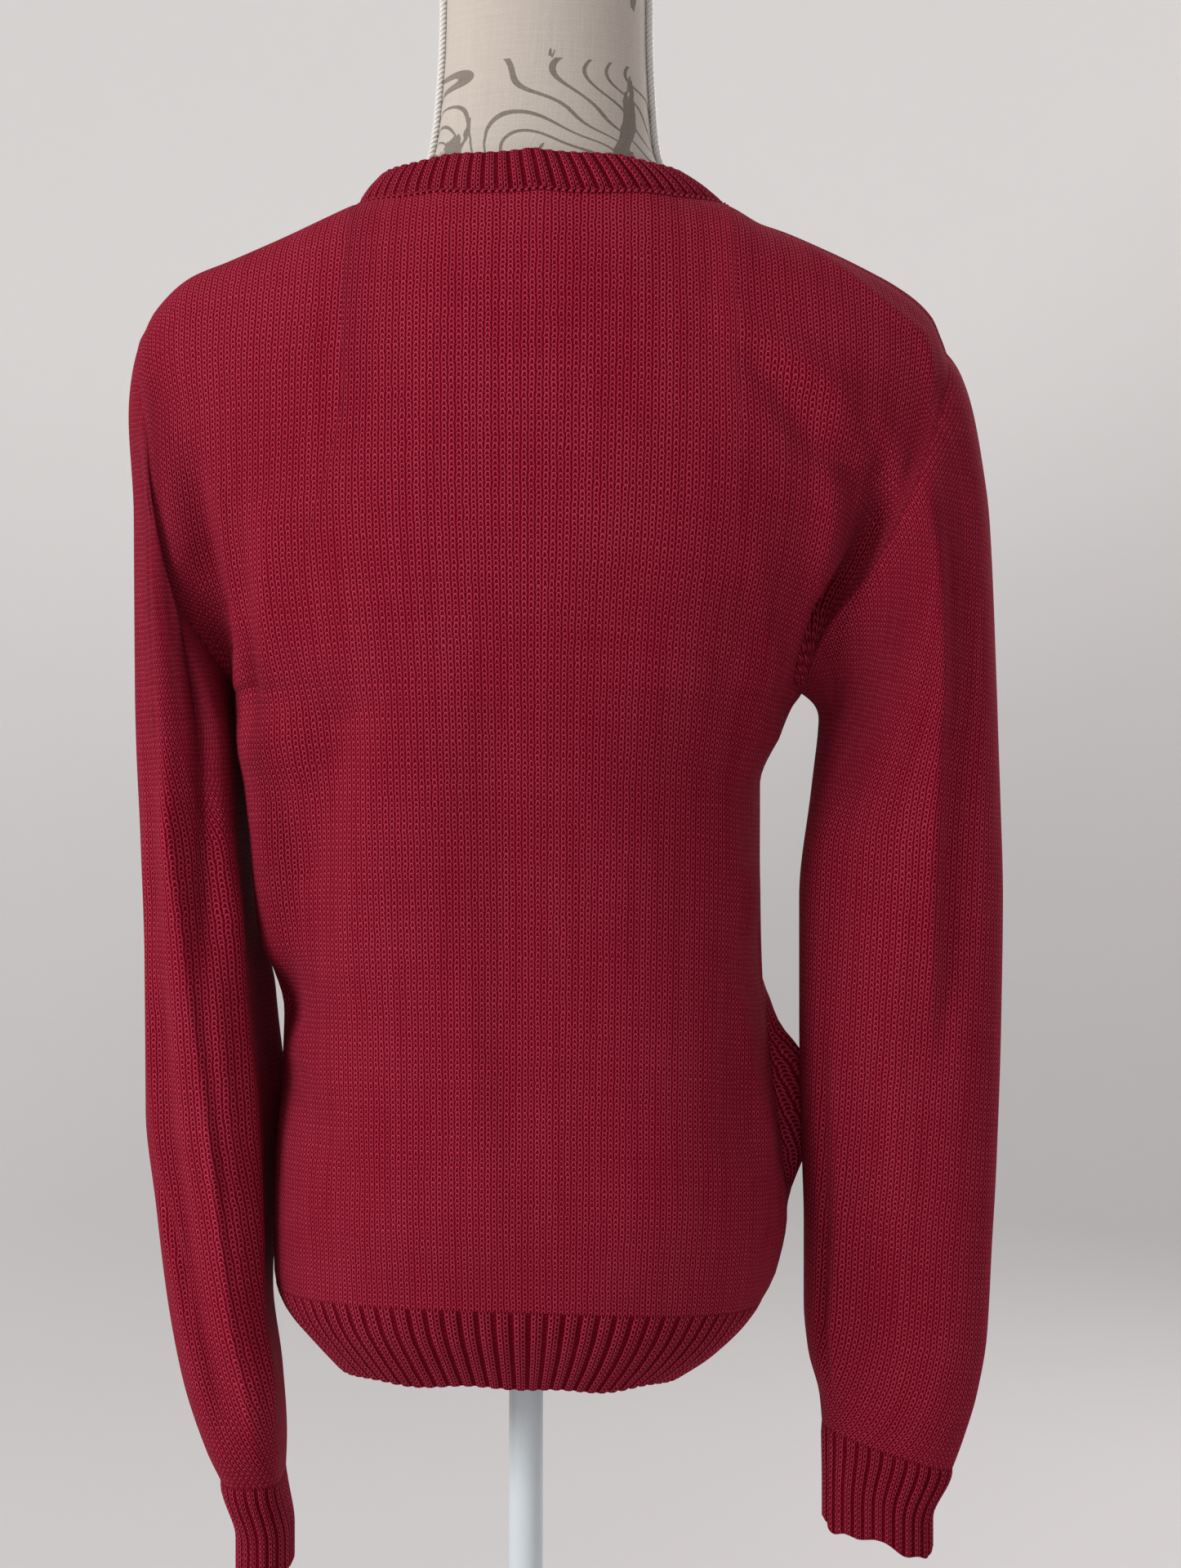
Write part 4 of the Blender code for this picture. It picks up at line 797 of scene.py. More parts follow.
def edgeDistance(grid):
    # distance from each point to the side or shoulder seam, along its row or column;
    # beside the armholes only the shoulder seam counts
    across = np.concatenate([np.zeros((len(grid), 1)),
                             np.cumsum(np.linalg.norm(np.diff(grid, axis=1), axis=-1), axis=1)], axis=1)
    along = np.concatenate([np.zeros((1, grid.shape[1])),
                            np.cumsum(np.linalg.norm(np.diff(grid, axis=0), axis=-1), axis=0)])
    aside = np.minimum(across, across[:, -1:] - across) + (panelRows > garment["lowerRows"])[:, None]
    return np.minimum(aside, along[-1:] - along)


def armholeSink(points, name):
    # how far points of the armhole are pulled in, towards the middle of the garment's depth
    depth = curve(armholeDepth, name, points[..., 2])
    inwards = -np.sign(points[..., 1]) * np.minimum(np.abs(points[..., 1]) / panels["sinkFade"], 1) * depth
    return np.stack([0 * inwards, inwards, 0 * inwards], -1)


def turnInAtArmholes(grid, normals):
    # the panel's edge follows the armhole's depth, with a thin ridge beside it
    rows = panelRows >= garment["lowerRows"]
    length = np.linalg.norm(np.diff(grid, axis=1), axis=-1)
    across = np.concatenate([np.zeros((len(grid), 1)), np.cumsum(length, axis=1)], axis=1)
    fade = panels["turnCalm"]
    calm = ease((panelRows - garment["lowerRows"]) / fade["underarm"])
    calm = calm * ease((lastRow - panelRows) / fade["shoulder"])
    for name, column, away in (("right", 0, across), ("left", -1, across[:, -1:] - across)):
        near = np.where(rows, 1, 0)[:, None] * np.exp(-(away / panels["armholeTurn"][name]) ** 2)
        grid = grid + armholeSink(grid[:, column], name)[:, None] * near[..., None]
        stand = curve(armholeDepth, name + "Ridge", grid[:, column, 2]) * calm
        ridge = np.exp(-((away - panels["ridgePlace"]) / panels["ridgeWidth"]) ** 2) * stand[:, None]
        grid = grid + normals * ridge[..., None]
    return grid


def raiseShoulderRidge(grid, normals):
    # on the wearer's right the back stands up in a soft ridge just below the shoulder seam
    ridge = panels["shoulderRidge"]
    along = np.cumsum(np.linalg.norm(np.diff(grid[::-1], axis=0), axis=-1), axis=0)
    below = np.concatenate([np.zeros((1, grid.shape[1])), along])[::-1]
    out = ease((-grid[..., 0] - ridge["from"]) / ridge["over"])
    rise = ridge["height"] * np.exp(-((below - ridge["below"]) / ridge["width"]) ** 2) * out
    return grid + normals * rise[..., None]


def makePanel(side):
    grid, normals, smooth = panelGrid(side)
    if side == "back":
        grid = raiseShoulderRidge(grid, normals)
    grid = turnInAtArmholes(grid, normals)
    normals = gridNormals(grid, side == "front")
    meetPanels(normals)
    joined = np.abs(grid[..., 1]) < 1e-9
    grid[..., 1] += np.where(joined, garment["seamGap"] / 2 * (1 if side == "back" else -1), 0)
    dip = panels["seamDip"] * np.exp(-(edgeDistance(grid) / panels["seamRoll"]) ** 2)
    outer = grid - normals * dip[..., None]
    inner = grid - normals * garment["wall"]
    uv = stitchMap(smooth, lambda h: curve(panels["waleGauge"], "width", h),
                   lambda h: curve(panels["courseGauge"], "rise", h), closed=False)
    return grid, normals, outer, inner, uv


panelData, panelWalls = {}, {}
for side in ("back", "front"):
    grid, normals, outer, inner, uv = makePanel(side)
    panelData[side] = (grid, normals)
    panelWalls[side] = (outer, inner, uv)


def shareArmholeNormals(side, shared):
    # the panels take the sleeve's normals along the seam
    column = -1 if side == "left" else 0
    rows = np.where(panelRows >= garment["lowerRows"])[0]
    count = len(rows)
    panelData["back"][1][rows[::-1], column] = shared[:count]
    panelData["front"][1][rows[1:-1], column] = shared[count:]
    panelData["front"][1][rows[0], column] = shared[count - 1]
    panelData["front"][1][rows[-1], column] = shared[0]


# sleeves

sleeves = {
    "left": {
        "columns": ("height", "outer", "inner", "back", "front"),
        "rows": [
            (-0.3960, 0.1745, 0.1390, 0.034, -0.034),
            (-0.3770, 0.1830, 0.1385, 0.041, -0.041),
            (-0.3370, 0.1958, 0.1410, 0.047, -0.046),
            (-0.2900, 0.2045, 0.1470, 0.050, -0.049),
            (-0.2370, 0.2110, 0.1480, 0.052, -0.052),
            (-0.1850, 0.2165, 0.1500, 0.055, -0.054),
            (-0.1060, 0.2165, 0.1570, 0.059, -0.057),
            (-0.0300, 0.2185, 0.1605, 0.063, -0.060),
            (0.0250, 0.2208, 0.1630, 0.065, -0.062),
            (0.0500, 0.2212, 0.1665, 0.066, -0.063),
            (0.1500, 0.2215, 0.1745, 0.067, -0.064),
            (0.2200, 0.2262, 0.1720, 0.063, -0.062),
            (0.2600, 0.2262, 0.1720, 0.060, -0.060),
        ],
        "folds": [   # a0, h0, a1, h1, width, depth; angles round the arm, 0 outside and 90 behind
            (80, 0.200, 80, 0.000, 13, 0.0024),
            (54, 0.180, 56, -0.060, 16, -0.0040),
            (122, 0.050, 116, -0.075, 13, -0.0060),
            (84, -0.040, 104, -0.300, 13, 0.0050),
            (62, -0.140, 84, -0.330, 13, -0.0050),
            (150, -0.080, 150, -0.330, 16, 0.0045),
            (262, 0.020, 268, -0.200, 17, -0.0060),
            (296, 0.080, 290, -0.260, 16, 0.0040),
            (210, -0.120, 207, -0.175, 22, 0.0112),
            (212, -0.212, 212, -0.236, 22, 0.0055),
            (140, 0.020, 136, -0.320, 18, 0.0030),
            (116, -0.100, 122, -0.340, 14, 0.0048),
            (76, 0.225, 73, 0.020, 5, -0.0020),
            (88, 0.190, 86, -0.020, 7, 0.0012),
            (85, -0.030, 104, -0.210, 5, 0.0020),
            (104, -0.210, 112, -0.330, 5, 0.0018),
            (122, 0.045, 110, -0.050, 6, -0.0024),
            (44, -0.215, 66, -0.270, 6, -0.0022),
            (40, -0.060, 46, -0.240, 7, 0.0018),
            (245, -0.060, 250, -0.240, 7, 0.0022),
            (310, 0.020, 306, -0.160, 7, -0.0020),
        ],
        "endTilt": 0.0,
        "headPull": 6,
        "fullness": {"outer": 0.86, "inner": 0.40},   # the smaller, the flatter is the back
    },
    "right": {
        "columns": ("height", "outer", "inner", "back", "front"),
        "rows": [
            (-0.3800, 0.2450, 0.1705, 0.023, -0.024),
            (-0.3633, 0.2510, 0.1690, 0.030, -0.031),
            (-0.3370, 0.2590, 0.1625, 0.035, -0.036),
            (-0.3069, 0.2645, 0.1600, 0.037, -0.038),
            (-0.2566, 0.2674, 0.1600, 0.038, -0.038),
            (-0.2167, 0.2698, 0.1590, 0.039, -0.040),
            (-0.1363, 0.2726, 0.1575, 0.041, -0.043),
            (-0.0658, 0.2735, 0.1575, 0.044, -0.046),
            (-0.0071, 0.2716, 0.1640, 0.049, -0.050),
            (0.0300, 0.2700, 0.1690, 0.053, -0.053),
            (0.0500, 0.2692, 0.1740, 0.055, -0.055),
            (0.1500, 0.2645, 0.1760, 0.060, -0.060),
            (0.1880, 0.2595, 0.1800, 0.059, -0.060),
            (0.2200, 0.2540, 0.1800, 0.058, -0.060),
            (0.2600, 0.2470, 0.1800, 0.055, -0.058),
        ],
        "folds": [
            (83, 0.215, 85, -0.090, 13, 0.0055),
            (63, 0.200, 66, -0.080, 13, -0.0034),
            (128, 0.020, 132, -0.120, 16, -0.0035),
            (110, -0.190, 100, -0.330, 16, -0.0030),
            (318, 0.160, 312, -0.080, 15, 0.0045),
            (262, -0.020, 258, -0.220, 18, -0.0045),
            (82, 0.210, 80, -0.090, 5, 0.0024),
            (74, 0.205, 73, -0.110, 5, -0.0026),
            (143, -0.180, 145, -0.330, 5, -0.0030),
            (128, -0.230, 138, -0.370, 6, 0.0024),
            (96, -0.120, 92, -0.260, 7, 0.0014),
            (300, -0.100, 296, -0.300, 7, 0.0020),
            (240, 0.080, 244, -0.080, 7, 0.0020),
        ],
        "endTilt": -0.34,
        "headPull": 22,
        "fullness": {"outer": 0.78, "inner": 0.86},
    },
    "sectionPower": 0.86,    # under 1, the arms are a little boxy
    "levelStart": -0.035,
    "pull": 9,
    "blendRows": 40,
    "tubeRows": 64,
    "waleGauge": 0.0034,
    "courseGauge": 0.0029,
    "headCalm": 16,          # rings over which folds fade at the armhole
    "cuffCalm": 10,          # and at the cuff
    "foldEnd": 0.035,        # height over which a fold runs out past its ends
    "backEdge": 4,           # how soon the back's own fullness sets in
}


def sleeveSection(table, side, angle, height):
    outer, inner = curve(table, "outer", height), curve(table, "inner", height)
    back, front = curve(table, "back", height), curve(table, "front", height)
    plain = sleeves["sectionPower"]
    full = table.get("fullness", {"outer": plain, "inner": plain})
    atBack = ease(np.sin(angle) * sleeves["backEdge"])
    power = np.where(np.cos(angle) > 0, full["outer"], full["inner"]) * atBack + plain * (1 - atBack)
    x = (outer + inner) / 2 + signedPower(np.cos(angle), plain) * (outer - inner) / 2
    y = (back + front) / 2 + signedPower(np.sin(angle), power) * (back - front) / 2
    return np.stack([x if side == "left" else -x, y, height + 0 * x], -1)


def sleeveFoldOffset(angle, height, folds):
    total = np.zeros_like(angle)
    for a0, h0, a1, h1, width, depth in folds:
        share = (height - h0) / (h1 - h0)
        place = a0 + (a1 - a0) * np.clip(share, 0, 1)
        away = (angle - place + 180) % 360 - 180
        beyond = np.maximum(np.maximum(-share, share - 1), 0) * abs(h1 - h0) / sleeves["foldEnd"]
        total += depth * np.exp(-(away / width) ** 2 - beyond ** 2)
    return total


def armholeLoop(side):
    # shoulder tip, down the back, underarm, up the front, with the panels' own points
    column = -1 if side == "left" else 0
    rows = np.arange(len(panelRows))
    high = rows[panelRows >= garment["lowerRows"]]
    turns = (lastRow - panelRows[high]) / garment["upperRows"] * math.pi
    behind = panelData["back"][0][high[::-1], column]
    before = panelData["front"][0][high[1:-1], column]
    behindNormal = panelData["back"][1][high[::-1], column]
    beforeNormal = panelData["front"][1][high[1:-1], column]
    angles = np.concatenate([turns[::-1], 2 * math.pi - turns[1:-1]])
    return np.concatenate([behind, before]), np.concatenate([behindNormal, beforeNormal]), angles


def sleeveGrid(side):
    table = sleeves[side]
    loop, panelNormal, angles = armholeLoop(side)
    sink = armholeSink(loop, side)
    loop = loop - sink
    start = sleeves["levelStart"]
    rings = []
    for share in np.linspace(0, 1, sleeves["blendRows"]) ** 1.5:
        height = loop[:, 2] + (start - loop[:, 2]) * share
        hung = sleeveSection(table, side, angles, height)
        pull = sleeves["pull"] + table["headPull"] * np.maximum(np.cos(angles), 0)[:, None] ** 3
        ring = loop + (hung - loop) * (1 - (1 - share) ** pull)
        ring[:, 2] = height
        rings.append(ring)
    end = table["rows"][0][0]
    for share in np.linspace(0, 1, sleeves["tubeRows"] + 1)[1:]:
        ring = sleeveSection(table, side, angles, start + (end - start) * share)
        ring[:, 2] -= (ring[:, 0] - ring[:, 0].mean()) * table["endTilt"] * share ** 3
        rings.append(ring)
    smooth = grid = np.array(rings)
    flip = side == "right"
    normals = gridNormals(grid, flip, closed=True)
    down = np.arange(len(grid))
    calm = ease(down / sleeves["headCalm"]) * ease((len(grid) - 1 - down) / sleeves["cuffCalm"])
    push = sleeveFoldOffset(np.degrees(angles)[None, :] + 0 * grid[..., 2], grid[..., 2], table["folds"])
    grid = grid + normals * (push * calm[:, None])[..., None]
    length = np.linalg.norm(np.diff(grid, axis=0), axis=-1)
    away = np.concatenate([np.zeros((1, len(angles))), np.cumsum(length, axis=0)])
    grid = grid + sink[None] * np.exp(-(away / panels["sleeveTurn"]) ** 2)[..., None]
    normals = gridNormals(grid, flip, closed=True)
    normals[0] = unit(normals[0] + panelNormal)
    return grid, normals, angles, smooth


sleeveData = {}
for side in ("left", "right"):
    grid, normals, angles, smooth = sleeveGrid(side)
    sleeveData[side] = (grid[-1], normals[-1], angles)
    shareArmholeNormals(side, normals[0])
    half = grid.shape[1] // 2                   # the sleeve's own seam lies beside the body
    grid, normals, smooth = (np.roll(values, half, axis=1) for values in (grid, normals, smooth))
    uv = stitchMap(smooth[::-1], lambda h: sleeves["waleGauge"],
                   lambda h: sleeves["courseGauge"], closed=True)
    piece = addWall(side + "Sleeve", grid, grid - normals * garment["wall"], uv[::-1], crimsonKnit,
                    flip=side == "right", closed=True, normals=normals)
    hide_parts(side + "_sleeve")
print("sleeves knitted")

for side in ("back", "front"):
    outer, inner, uv = panelWalls[side]
    piece = addWall(side + "Panel", outer, inner, uv, crimsonKnit, flip=side == "front",
                    normals=panelData[side][1])
    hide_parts(side + "_panel")
print("panels knitted")


# ribbing: hem, cuffs and neckband

ribs = {
    "pointsToRib": 8,
    "crest": 0.0010,        # how far a rib stands out
    "furrow": 0.0004,       # how far the purl furrow sinks
    "crestShare": 0.72,     # of a rib's width
    "squareness": 0.45,     # the smaller, the flatter is its top
    "dip": 0.16,            # between its two wales
    "dipPower": 8,
    "lip": 0.0016,          # length over which a free edge rounds off
    "lipLeast": 0.02,
    "courseGauge": 0.0027,
    "gap": 0.00006,         # between the ribbing and the plain knit
}


def resample(ring, extra, count):
    # even places round a closed line, and what belongs to them
    closed = np.concatenate([ring, ring[:1]])
    length = np.concatenate([[0], np.cumsum(np.linalg.norm(np.diff(closed, axis=0), axis=-1))])
    places = np.arange(count) / count * length[-1]
    result = []
    for values in (ring, *extra):
        loop = np.concatenate([values, values[:1] + (2 * math.pi if values.ndim == 1 else 0)])
        if values.ndim == 1:
            result.append(np.interp(places, length, loop))
        else:
            result.append(np.stack([np.interp(places, length, loop[:, k]) for k in range(3)], -1))
    return result


def ribProfile(count):
    # one rib: two raised wales with a shallow dip between them, then a narrow furrow
    place = (np.arange(count) / ribs["pointsToRib"]) % 1
    swell = np.sin(math.pi * np.clip(place / ribs["crestShare"], 0, 1))
    crest = swell ** ribs["squareness"] * (1 - ribs["dip"] * swell ** ribs["dipPower"])
    crest = np.where(place < ribs["crestShare"], crest, 0)
    return crest * (ribs["crest"] + ribs["furrow"]) - ribs["furrow"]


def ribRelief(values, share):
    # ribs start low at the plain knit and stand out in full a short way on
    start, gain, before, within = values["relief"]
    return start + gain * ease((share - before) / within)


def addRibbing(name, node, rows, normals, relief, flip):
    # rows of points from a neighbour's edge to the free edge, which is rounded off
    rows, normals = np.array(rows), np.array(normals)
    count = rows.shape[1]
    run = np.linalg.norm(np.diff(rows, axis=0), axis=-1).mean(axis=1)
    toEnd = np.concatenate([np.cumsum(run[::-1])[::-1], [0]])
    lip = 1 - (1 - np.clip(toEnd / ribs["lip"], 0, 1)) ** 2
    lip = np.sqrt(np.clip(lip, ribs["lipLeast"], 1))
    lift = ribProfile(count)[None, :] * np.array(relief)[:, None] * lip[:, None]
    half = garment["wall"] / 2
    middle = rows - normals * half
    outer = middle + normals * (half * lip[:, None] + lift)[..., None]
    inner = middle - normals * (half * lip[:, None])[..., None]
    along = np.concatenate([[0], np.cumsum(run)]) / ribs["courseGauge"]
    wales = np.arange(count + 1) / ribs["pointsToRib"] * yarn["walesToRib"]
    uv = np.stack(np.broadcast_arrays(wales[None, :], along[:, None]), -1)
    piece = addWall(name, outer, inner, uv, crimsonRib, flip=flip, closed=True)
    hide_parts(node)


def edgeShares(count):
    # even steps, then close ones at the free edge
    even = np.linspace(0, 0.96, count)
    return np.concatenate([even, [0.975, 0.985, 0.993, 0.998, 1.0]])


hem = {
    "ribCount": 84,
    "edgeHeight": -0.3325,
    "edgeTilt": 0.030,
    "edgeRise": 0.0040,
    "edgeReach": 0.100,
    "wave": 0.0007,
    "tuck": 0.65,            # how far the ribs turn under
    "tuckPace": 1.3,
    "relief": (0.25, 0.75, 0.0, 0.10),   # at its start, what it gains, and between which shares
    "flat": (0.70, 0.06),
    "columns": ("along", "left", "right", "back", "front"),
    "rows": [
        (0.00, 1.000, 1.000, 1.000, 1.000),
        (0.30, 0.957, 0.932, 0.955, 0.955),
        (0.65, 0.868, 0.822, 0.865, 0.860),
        (1.00, 0.765, 0.675, 0.755, 0.750),
    ],
}


def makeHem():
    back, front = panelData["back"], panelData["front"]
    ring = np.concatenate([back[0][0, ::-1], front[0][0, 1:-1]])
    around = np.concatenate([back[1][0, ::-1], front[1][0, 1:-1]])
    count = hem["ribCount"] * ribs["pointsToRib"]
    ring, around = resample(ring, [around], count)
    around = unit(around * (1, 1, 0))
    ring = ring - (0, 0, ribs["gap"])
    rows, normals, relief = [], [], []
    angle = np.arange(count) / count * 2 * math.pi
    for share in edgeShares(20):
        points = ring.copy()
        isLeft, isBack = points[:, 0] > 0, points[:, 1] > 0
        factor = {name: curve(hem, name, share) for name in hem["columns"][1:]}
        points[:, 0] *= np.where(isLeft, factor["left"], factor["right"])
        points[:, 1] *= np.where(isBack, factor["back"], factor["front"])
        middle = np.clip(1 - (points[:, 0] / hem["edgeReach"]) ** 2, 0, 1)
        foot = hem["edgeHeight"] + hem["edgeTilt"] * points[:, 0] + hem["edgeRise"] * middle
        foot = foot + hem["wave"] * (np.sin(5 * angle + 0.6) + np.sin(11 * angle))
        points[:, 2] += (foot - points[:, 2]) * share
        rows.append(points)
        normals.append(unit(around + (0, 0, -hem["tuck"] * ease(share * hem["tuckPace"]))))
        relief.append(ribRelief(hem, share))
    addRibbing("hemRibbing", "hem_ribbing", rows, normals, relief, False)


cuffs = {
    "ribCount": 28,
    "turnPace": 1.6,         # the cuff takes its own section before its edge
    "relief": (0.2, 0.6, 0.0, 0.12),
    "columns": ("height", "outer", "inner", "back", "front"),
    "left": {"edge": (-0.4490, 0.1655, 0.1345, 0.031, -0.031), "tilt": 0.05, "wave": 0.0008,
             "flat": (0.152, 0.06)},
    "right": {"edge": (-0.4330, 0.2335, 0.1710, 0.020, -0.021), "tilt": -0.29, "wave": 0.0020,
              "flat": (0.160, 0.064)},
}


def makeCuff(side):
    values = cuffs[side]
    ring, around, angles = sleeveData[side]
    count = cuffs["ribCount"] * ribs["pointsToRib"]
    ring, around, angles = resample(ring, [around, angles], count)
    ring = ring - (0, 0, ribs["gap"])
    around = unit(around * (1, 1, 0))
    edge = values["edge"]
    table = {"columns": cuffs["columns"], "rows": [edge, (edge[0] + 1, *edge[1:])]}
    last = sleeveSection(table, side, angles, np.full(count, edge[0]))
    middle = (edge[1] + edge[2]) / 2 * (1 if side == "left" else -1)
    last[:, 2] -= (last[:, 0] - middle) * values["tilt"]
    last[:, 2] += values["wave"] * (np.sin(4 * angles + 1.0) + 0.6 * np.sin(9 * angles))
    rows, relief = [], []
    for share in edgeShares(18):
        level = ring + (last - ring) * share
        level[:, :2] = ring[:, :2] + (last[:, :2] - ring[:, :2]) * ease(share * cuffs["turnPace"])
        rows.append(level)
        relief.append(ribRelief(cuffs, share))
    addRibbing(side + "Cuff", side + "_cuff", rows, [around] * len(rows), relief,
               side == "right")


neckband = {
    "ribCount": 76,
    "middle": -0.0048,
    "topReach": 0.0880,
    "top": {"back": 0.0535, "front": 0.0780},
    "rise": {"back": 0.0250, "side": 0.0174, "front": 0.0250},
    "belly": 0.0012,       # the band bulges a little between its edges
    "footSink": 0.0009,    # and sinks in at its foot
    "footShare": 0.1,
    "start": 0.012,        # it starts just above the panels' edge
    "lean": 0.35,
    "relief": (0.15, 0.80, 0.05, 0.12),
    "flat": (0.54, 0.031),
}


def neckline():
    # left end of the back neckline, round the back, then the front
    keep = np.where(np.abs(panelJ) <= garment["neckColumns"] + 1e-9)[0]
    back, front = panelData["back"], panelData["front"]
    ring = np.concatenate([back[0][-1, keep[::-1]], front[0][-1, keep[1:-1]]])
    around = np.concatenate([back[1][-1, keep[::-1]], front[1][-1, keep[1:-1]]])
    return ring, around


def bandTop(ring):
    isBack = ring[:, 1] > 0
    depth = np.where(isBack, garment["neckDepth"]["back"], garment["neckDepth"]["front"])
    turn = np.arctan2(ring[:, 1] / depth, (ring[:, 0] - garment["lean"]) / garment["neckReach"])
    deep = np.sin(turn)
    topDepth = np.where(isBack, neckband["top"]["back"], neckband["top"]["front"])
    end = np.where(isBack, neckband["rise"]["back"], neckband["rise"]["front"])
    rise = neckband["rise"]["side"] + (end - neckband["rise"]["side"]) * deep * deep
    x = neckband["middle"] + neckband["topReach"] * np.cos(turn)
    return np.stack([x, topDepth * deep, ring[:, 2] + rise], -1)


def makeNeckband():
    ring, around = neckline()
    count = neckband["ribCount"] * ribs["pointsToRib"]
    ring, around = resample(ring, [around], count)
    top = bandTop(ring)
    tangent = unit(steps(ring, 0, closed=True))
    face = unit(np.cross(tangent, top - ring))
    face = face * np.sign(np.sum(face * around, axis=-1, keepdims=True))
    face = unit(face + neckband["lean"] * unit(around))
    rows, relief = [], []
    for share in edgeShares(16):
        sink = neckband["footSink"] * (1 - float(ease(share / neckband["footShare"])))
        belly = neckband["belly"] * math.sin(math.pi * share) - sink
        climb = neckband["start"] + (1 - neckband["start"]) * share
        rows.append(ring + (top - ring) * climb + face * belly)
        relief.append(ribRelief(neckband, share))
    addRibbing("neckRibbing", "neckband", rows, [face] * len(rows), relief, True)
    return ring, around, top


linking = {
    "pitch": 0.0040,       # one loop for each wale of the neckline
    "length": 0.0026,      # half a loop's length
    "thickness": 0.0010,   # and half its width
    "leastGirth": 0.01,
    "curl": 0.0007,        # how far its ends dip in
    "rings": 7,
    "sides": 8,
    "radiansToWale": 6,    # round a loop, for its stitch map
    "lift": 0.0009,        # how far they stand out
    "slant": 0.55,
    "below": 0.0012,       # how far the loops lie under the band
}


def makeLinking(ring, around, top):
    # the row of linked loops under the neckband
    total = np.linalg.norm(np.diff(ring, axis=0), axis=-1).sum()
    count = int(total / linking["pitch"])
    ring, around, top = resample(ring, [around, top], count)
    tangent = unit(steps(ring, 0, closed=True))
    upwards = unit(top - ring)
    outwards = unit(np.cross(tangent, upwards))
    outwards = outwards * np.sign(np.sum(outwards * around, axis=-1, keepdims=True))
    lengthways = unit(tangent * math.cos(linking["slant"]) + upwards * math.sin(linking["slant"]))
    sideways = unit(np.cross(outwards, lengthways))
    rings, sides = linking["rings"], linking["sides"]
    place = np.linspace(-1, 1, rings)
    turn = np.arange(sides) / sides * 2 * math.pi
    girth = np.sqrt(np.clip(1 - place ** 2, linking["leastGirth"], 1))
    points, faces = [], []
    index = np.arange(rings * sides).reshape(rings, sides)
    index = np.concatenate([index, index[:, :1]], axis=1)
    template = quads(index, True)
    for k in range(count):
        centre = ring[k] - upwards[k] * linking["below"] + outwards[k] * linking["lift"]
        curl = outwards[k] * (-linking["curl"] * place ** 2)[:, None]
        spine = centre + lengthways[k] * (place * linking["length"])[:, None] + curl
        for i in range(rings):
            circle = sideways[k] * np.cos(turn)[:, None] + outwards[k] * np.sin(turn)[:, None]
            points.append(spine[i] + circle * girth[i] * linking["thickness"])
        faces.append(template + k * rings * sides)
    points = np.concatenate(points) + (0, 0, garment["level"])
    faces = np.concatenate(faces)
    uv = np.stack(np.meshgrid(turn / linking["radiansToWale"], place), -1)
    uv = np.tile(uv.reshape(-1, 2), (count, 1))
    piece = addMesh("neckLinking", points, faces, uv, faces, crimsonKnit)


makeHem()
for side in ("left", "right"):
    makeCuff(side)
makeLinking(*makeNeckband())
print("ribbing knitted")


# the form under the sweater

form = {
    "columns": ("height", "half", "back", "front"),
    "rows": [
        (-0.268, 0.1180, 0.0820, 0.0800),
        (-0.255, 0.1270, 0.0900, 0.0880),
        (-0.220, 0.1330, 0.0960, 0.0950),
        (-0.150, 0.1220, 0.0840, 0.0880),
        (-0.100, 0.1130, 0.0780, 0.0850),
        (-0.040, 0.1130, 0.0800, 0.0880),
        (0.020, 0.1230, 0.0910, 0.1010),
        (0.080, 0.1390, 0.0980, 0.1080),
        (0.140, 0.1600, 0.1000, 0.1080),
        (0.190, 0.1860, 0.1000, 0.1080),
        (0.240, 0.2120, 0.1000, 0.1080),
    ],
    "halfColumns": 10,
    "neckColumns": 4,
    "neckReach": 0.074,
    "neckDepth": {"back": 0.049, "front": 0.058},
    "clearance": 0.0007,
    "neckClearance": 0.0030,
    "tipTilt": 0.0050,
    "stepsToColumn": 8,
    "rowCount": 80,
    "foot": -0.268,
    "wallRoom": 1.1,         # slanting walls take a little more height
    "neckFade": 0.035,
    "upperSpread": 1.3,
    "hipShift": 0.004,
    "hipTop": -0.05,
    "hipFade": 0.25,
    "footInsets": (1, 0.985, 0.94, 0.5, 0),   # the closed underside
}
neckTable = {
    "columns": ("height", "half", "back", "front", "middle"),
    "rows": [
        (0.340, 0.0740, 0.0490, 0.0580, -0.0100),
        (0.362, 0.0630, 0.0440, 0.0530, -0.0105),
        (0.385, 0.0600, 0.0435, 0.0515, -0.0110),
        (0.430, 0.0575, 0.0430, 0.0510, -0.0115),
        (0.488, 0.0570, 0.0430, 0.0510, -0.0120),
    ],
    "top": 0.488,
    "rings": 46,
}


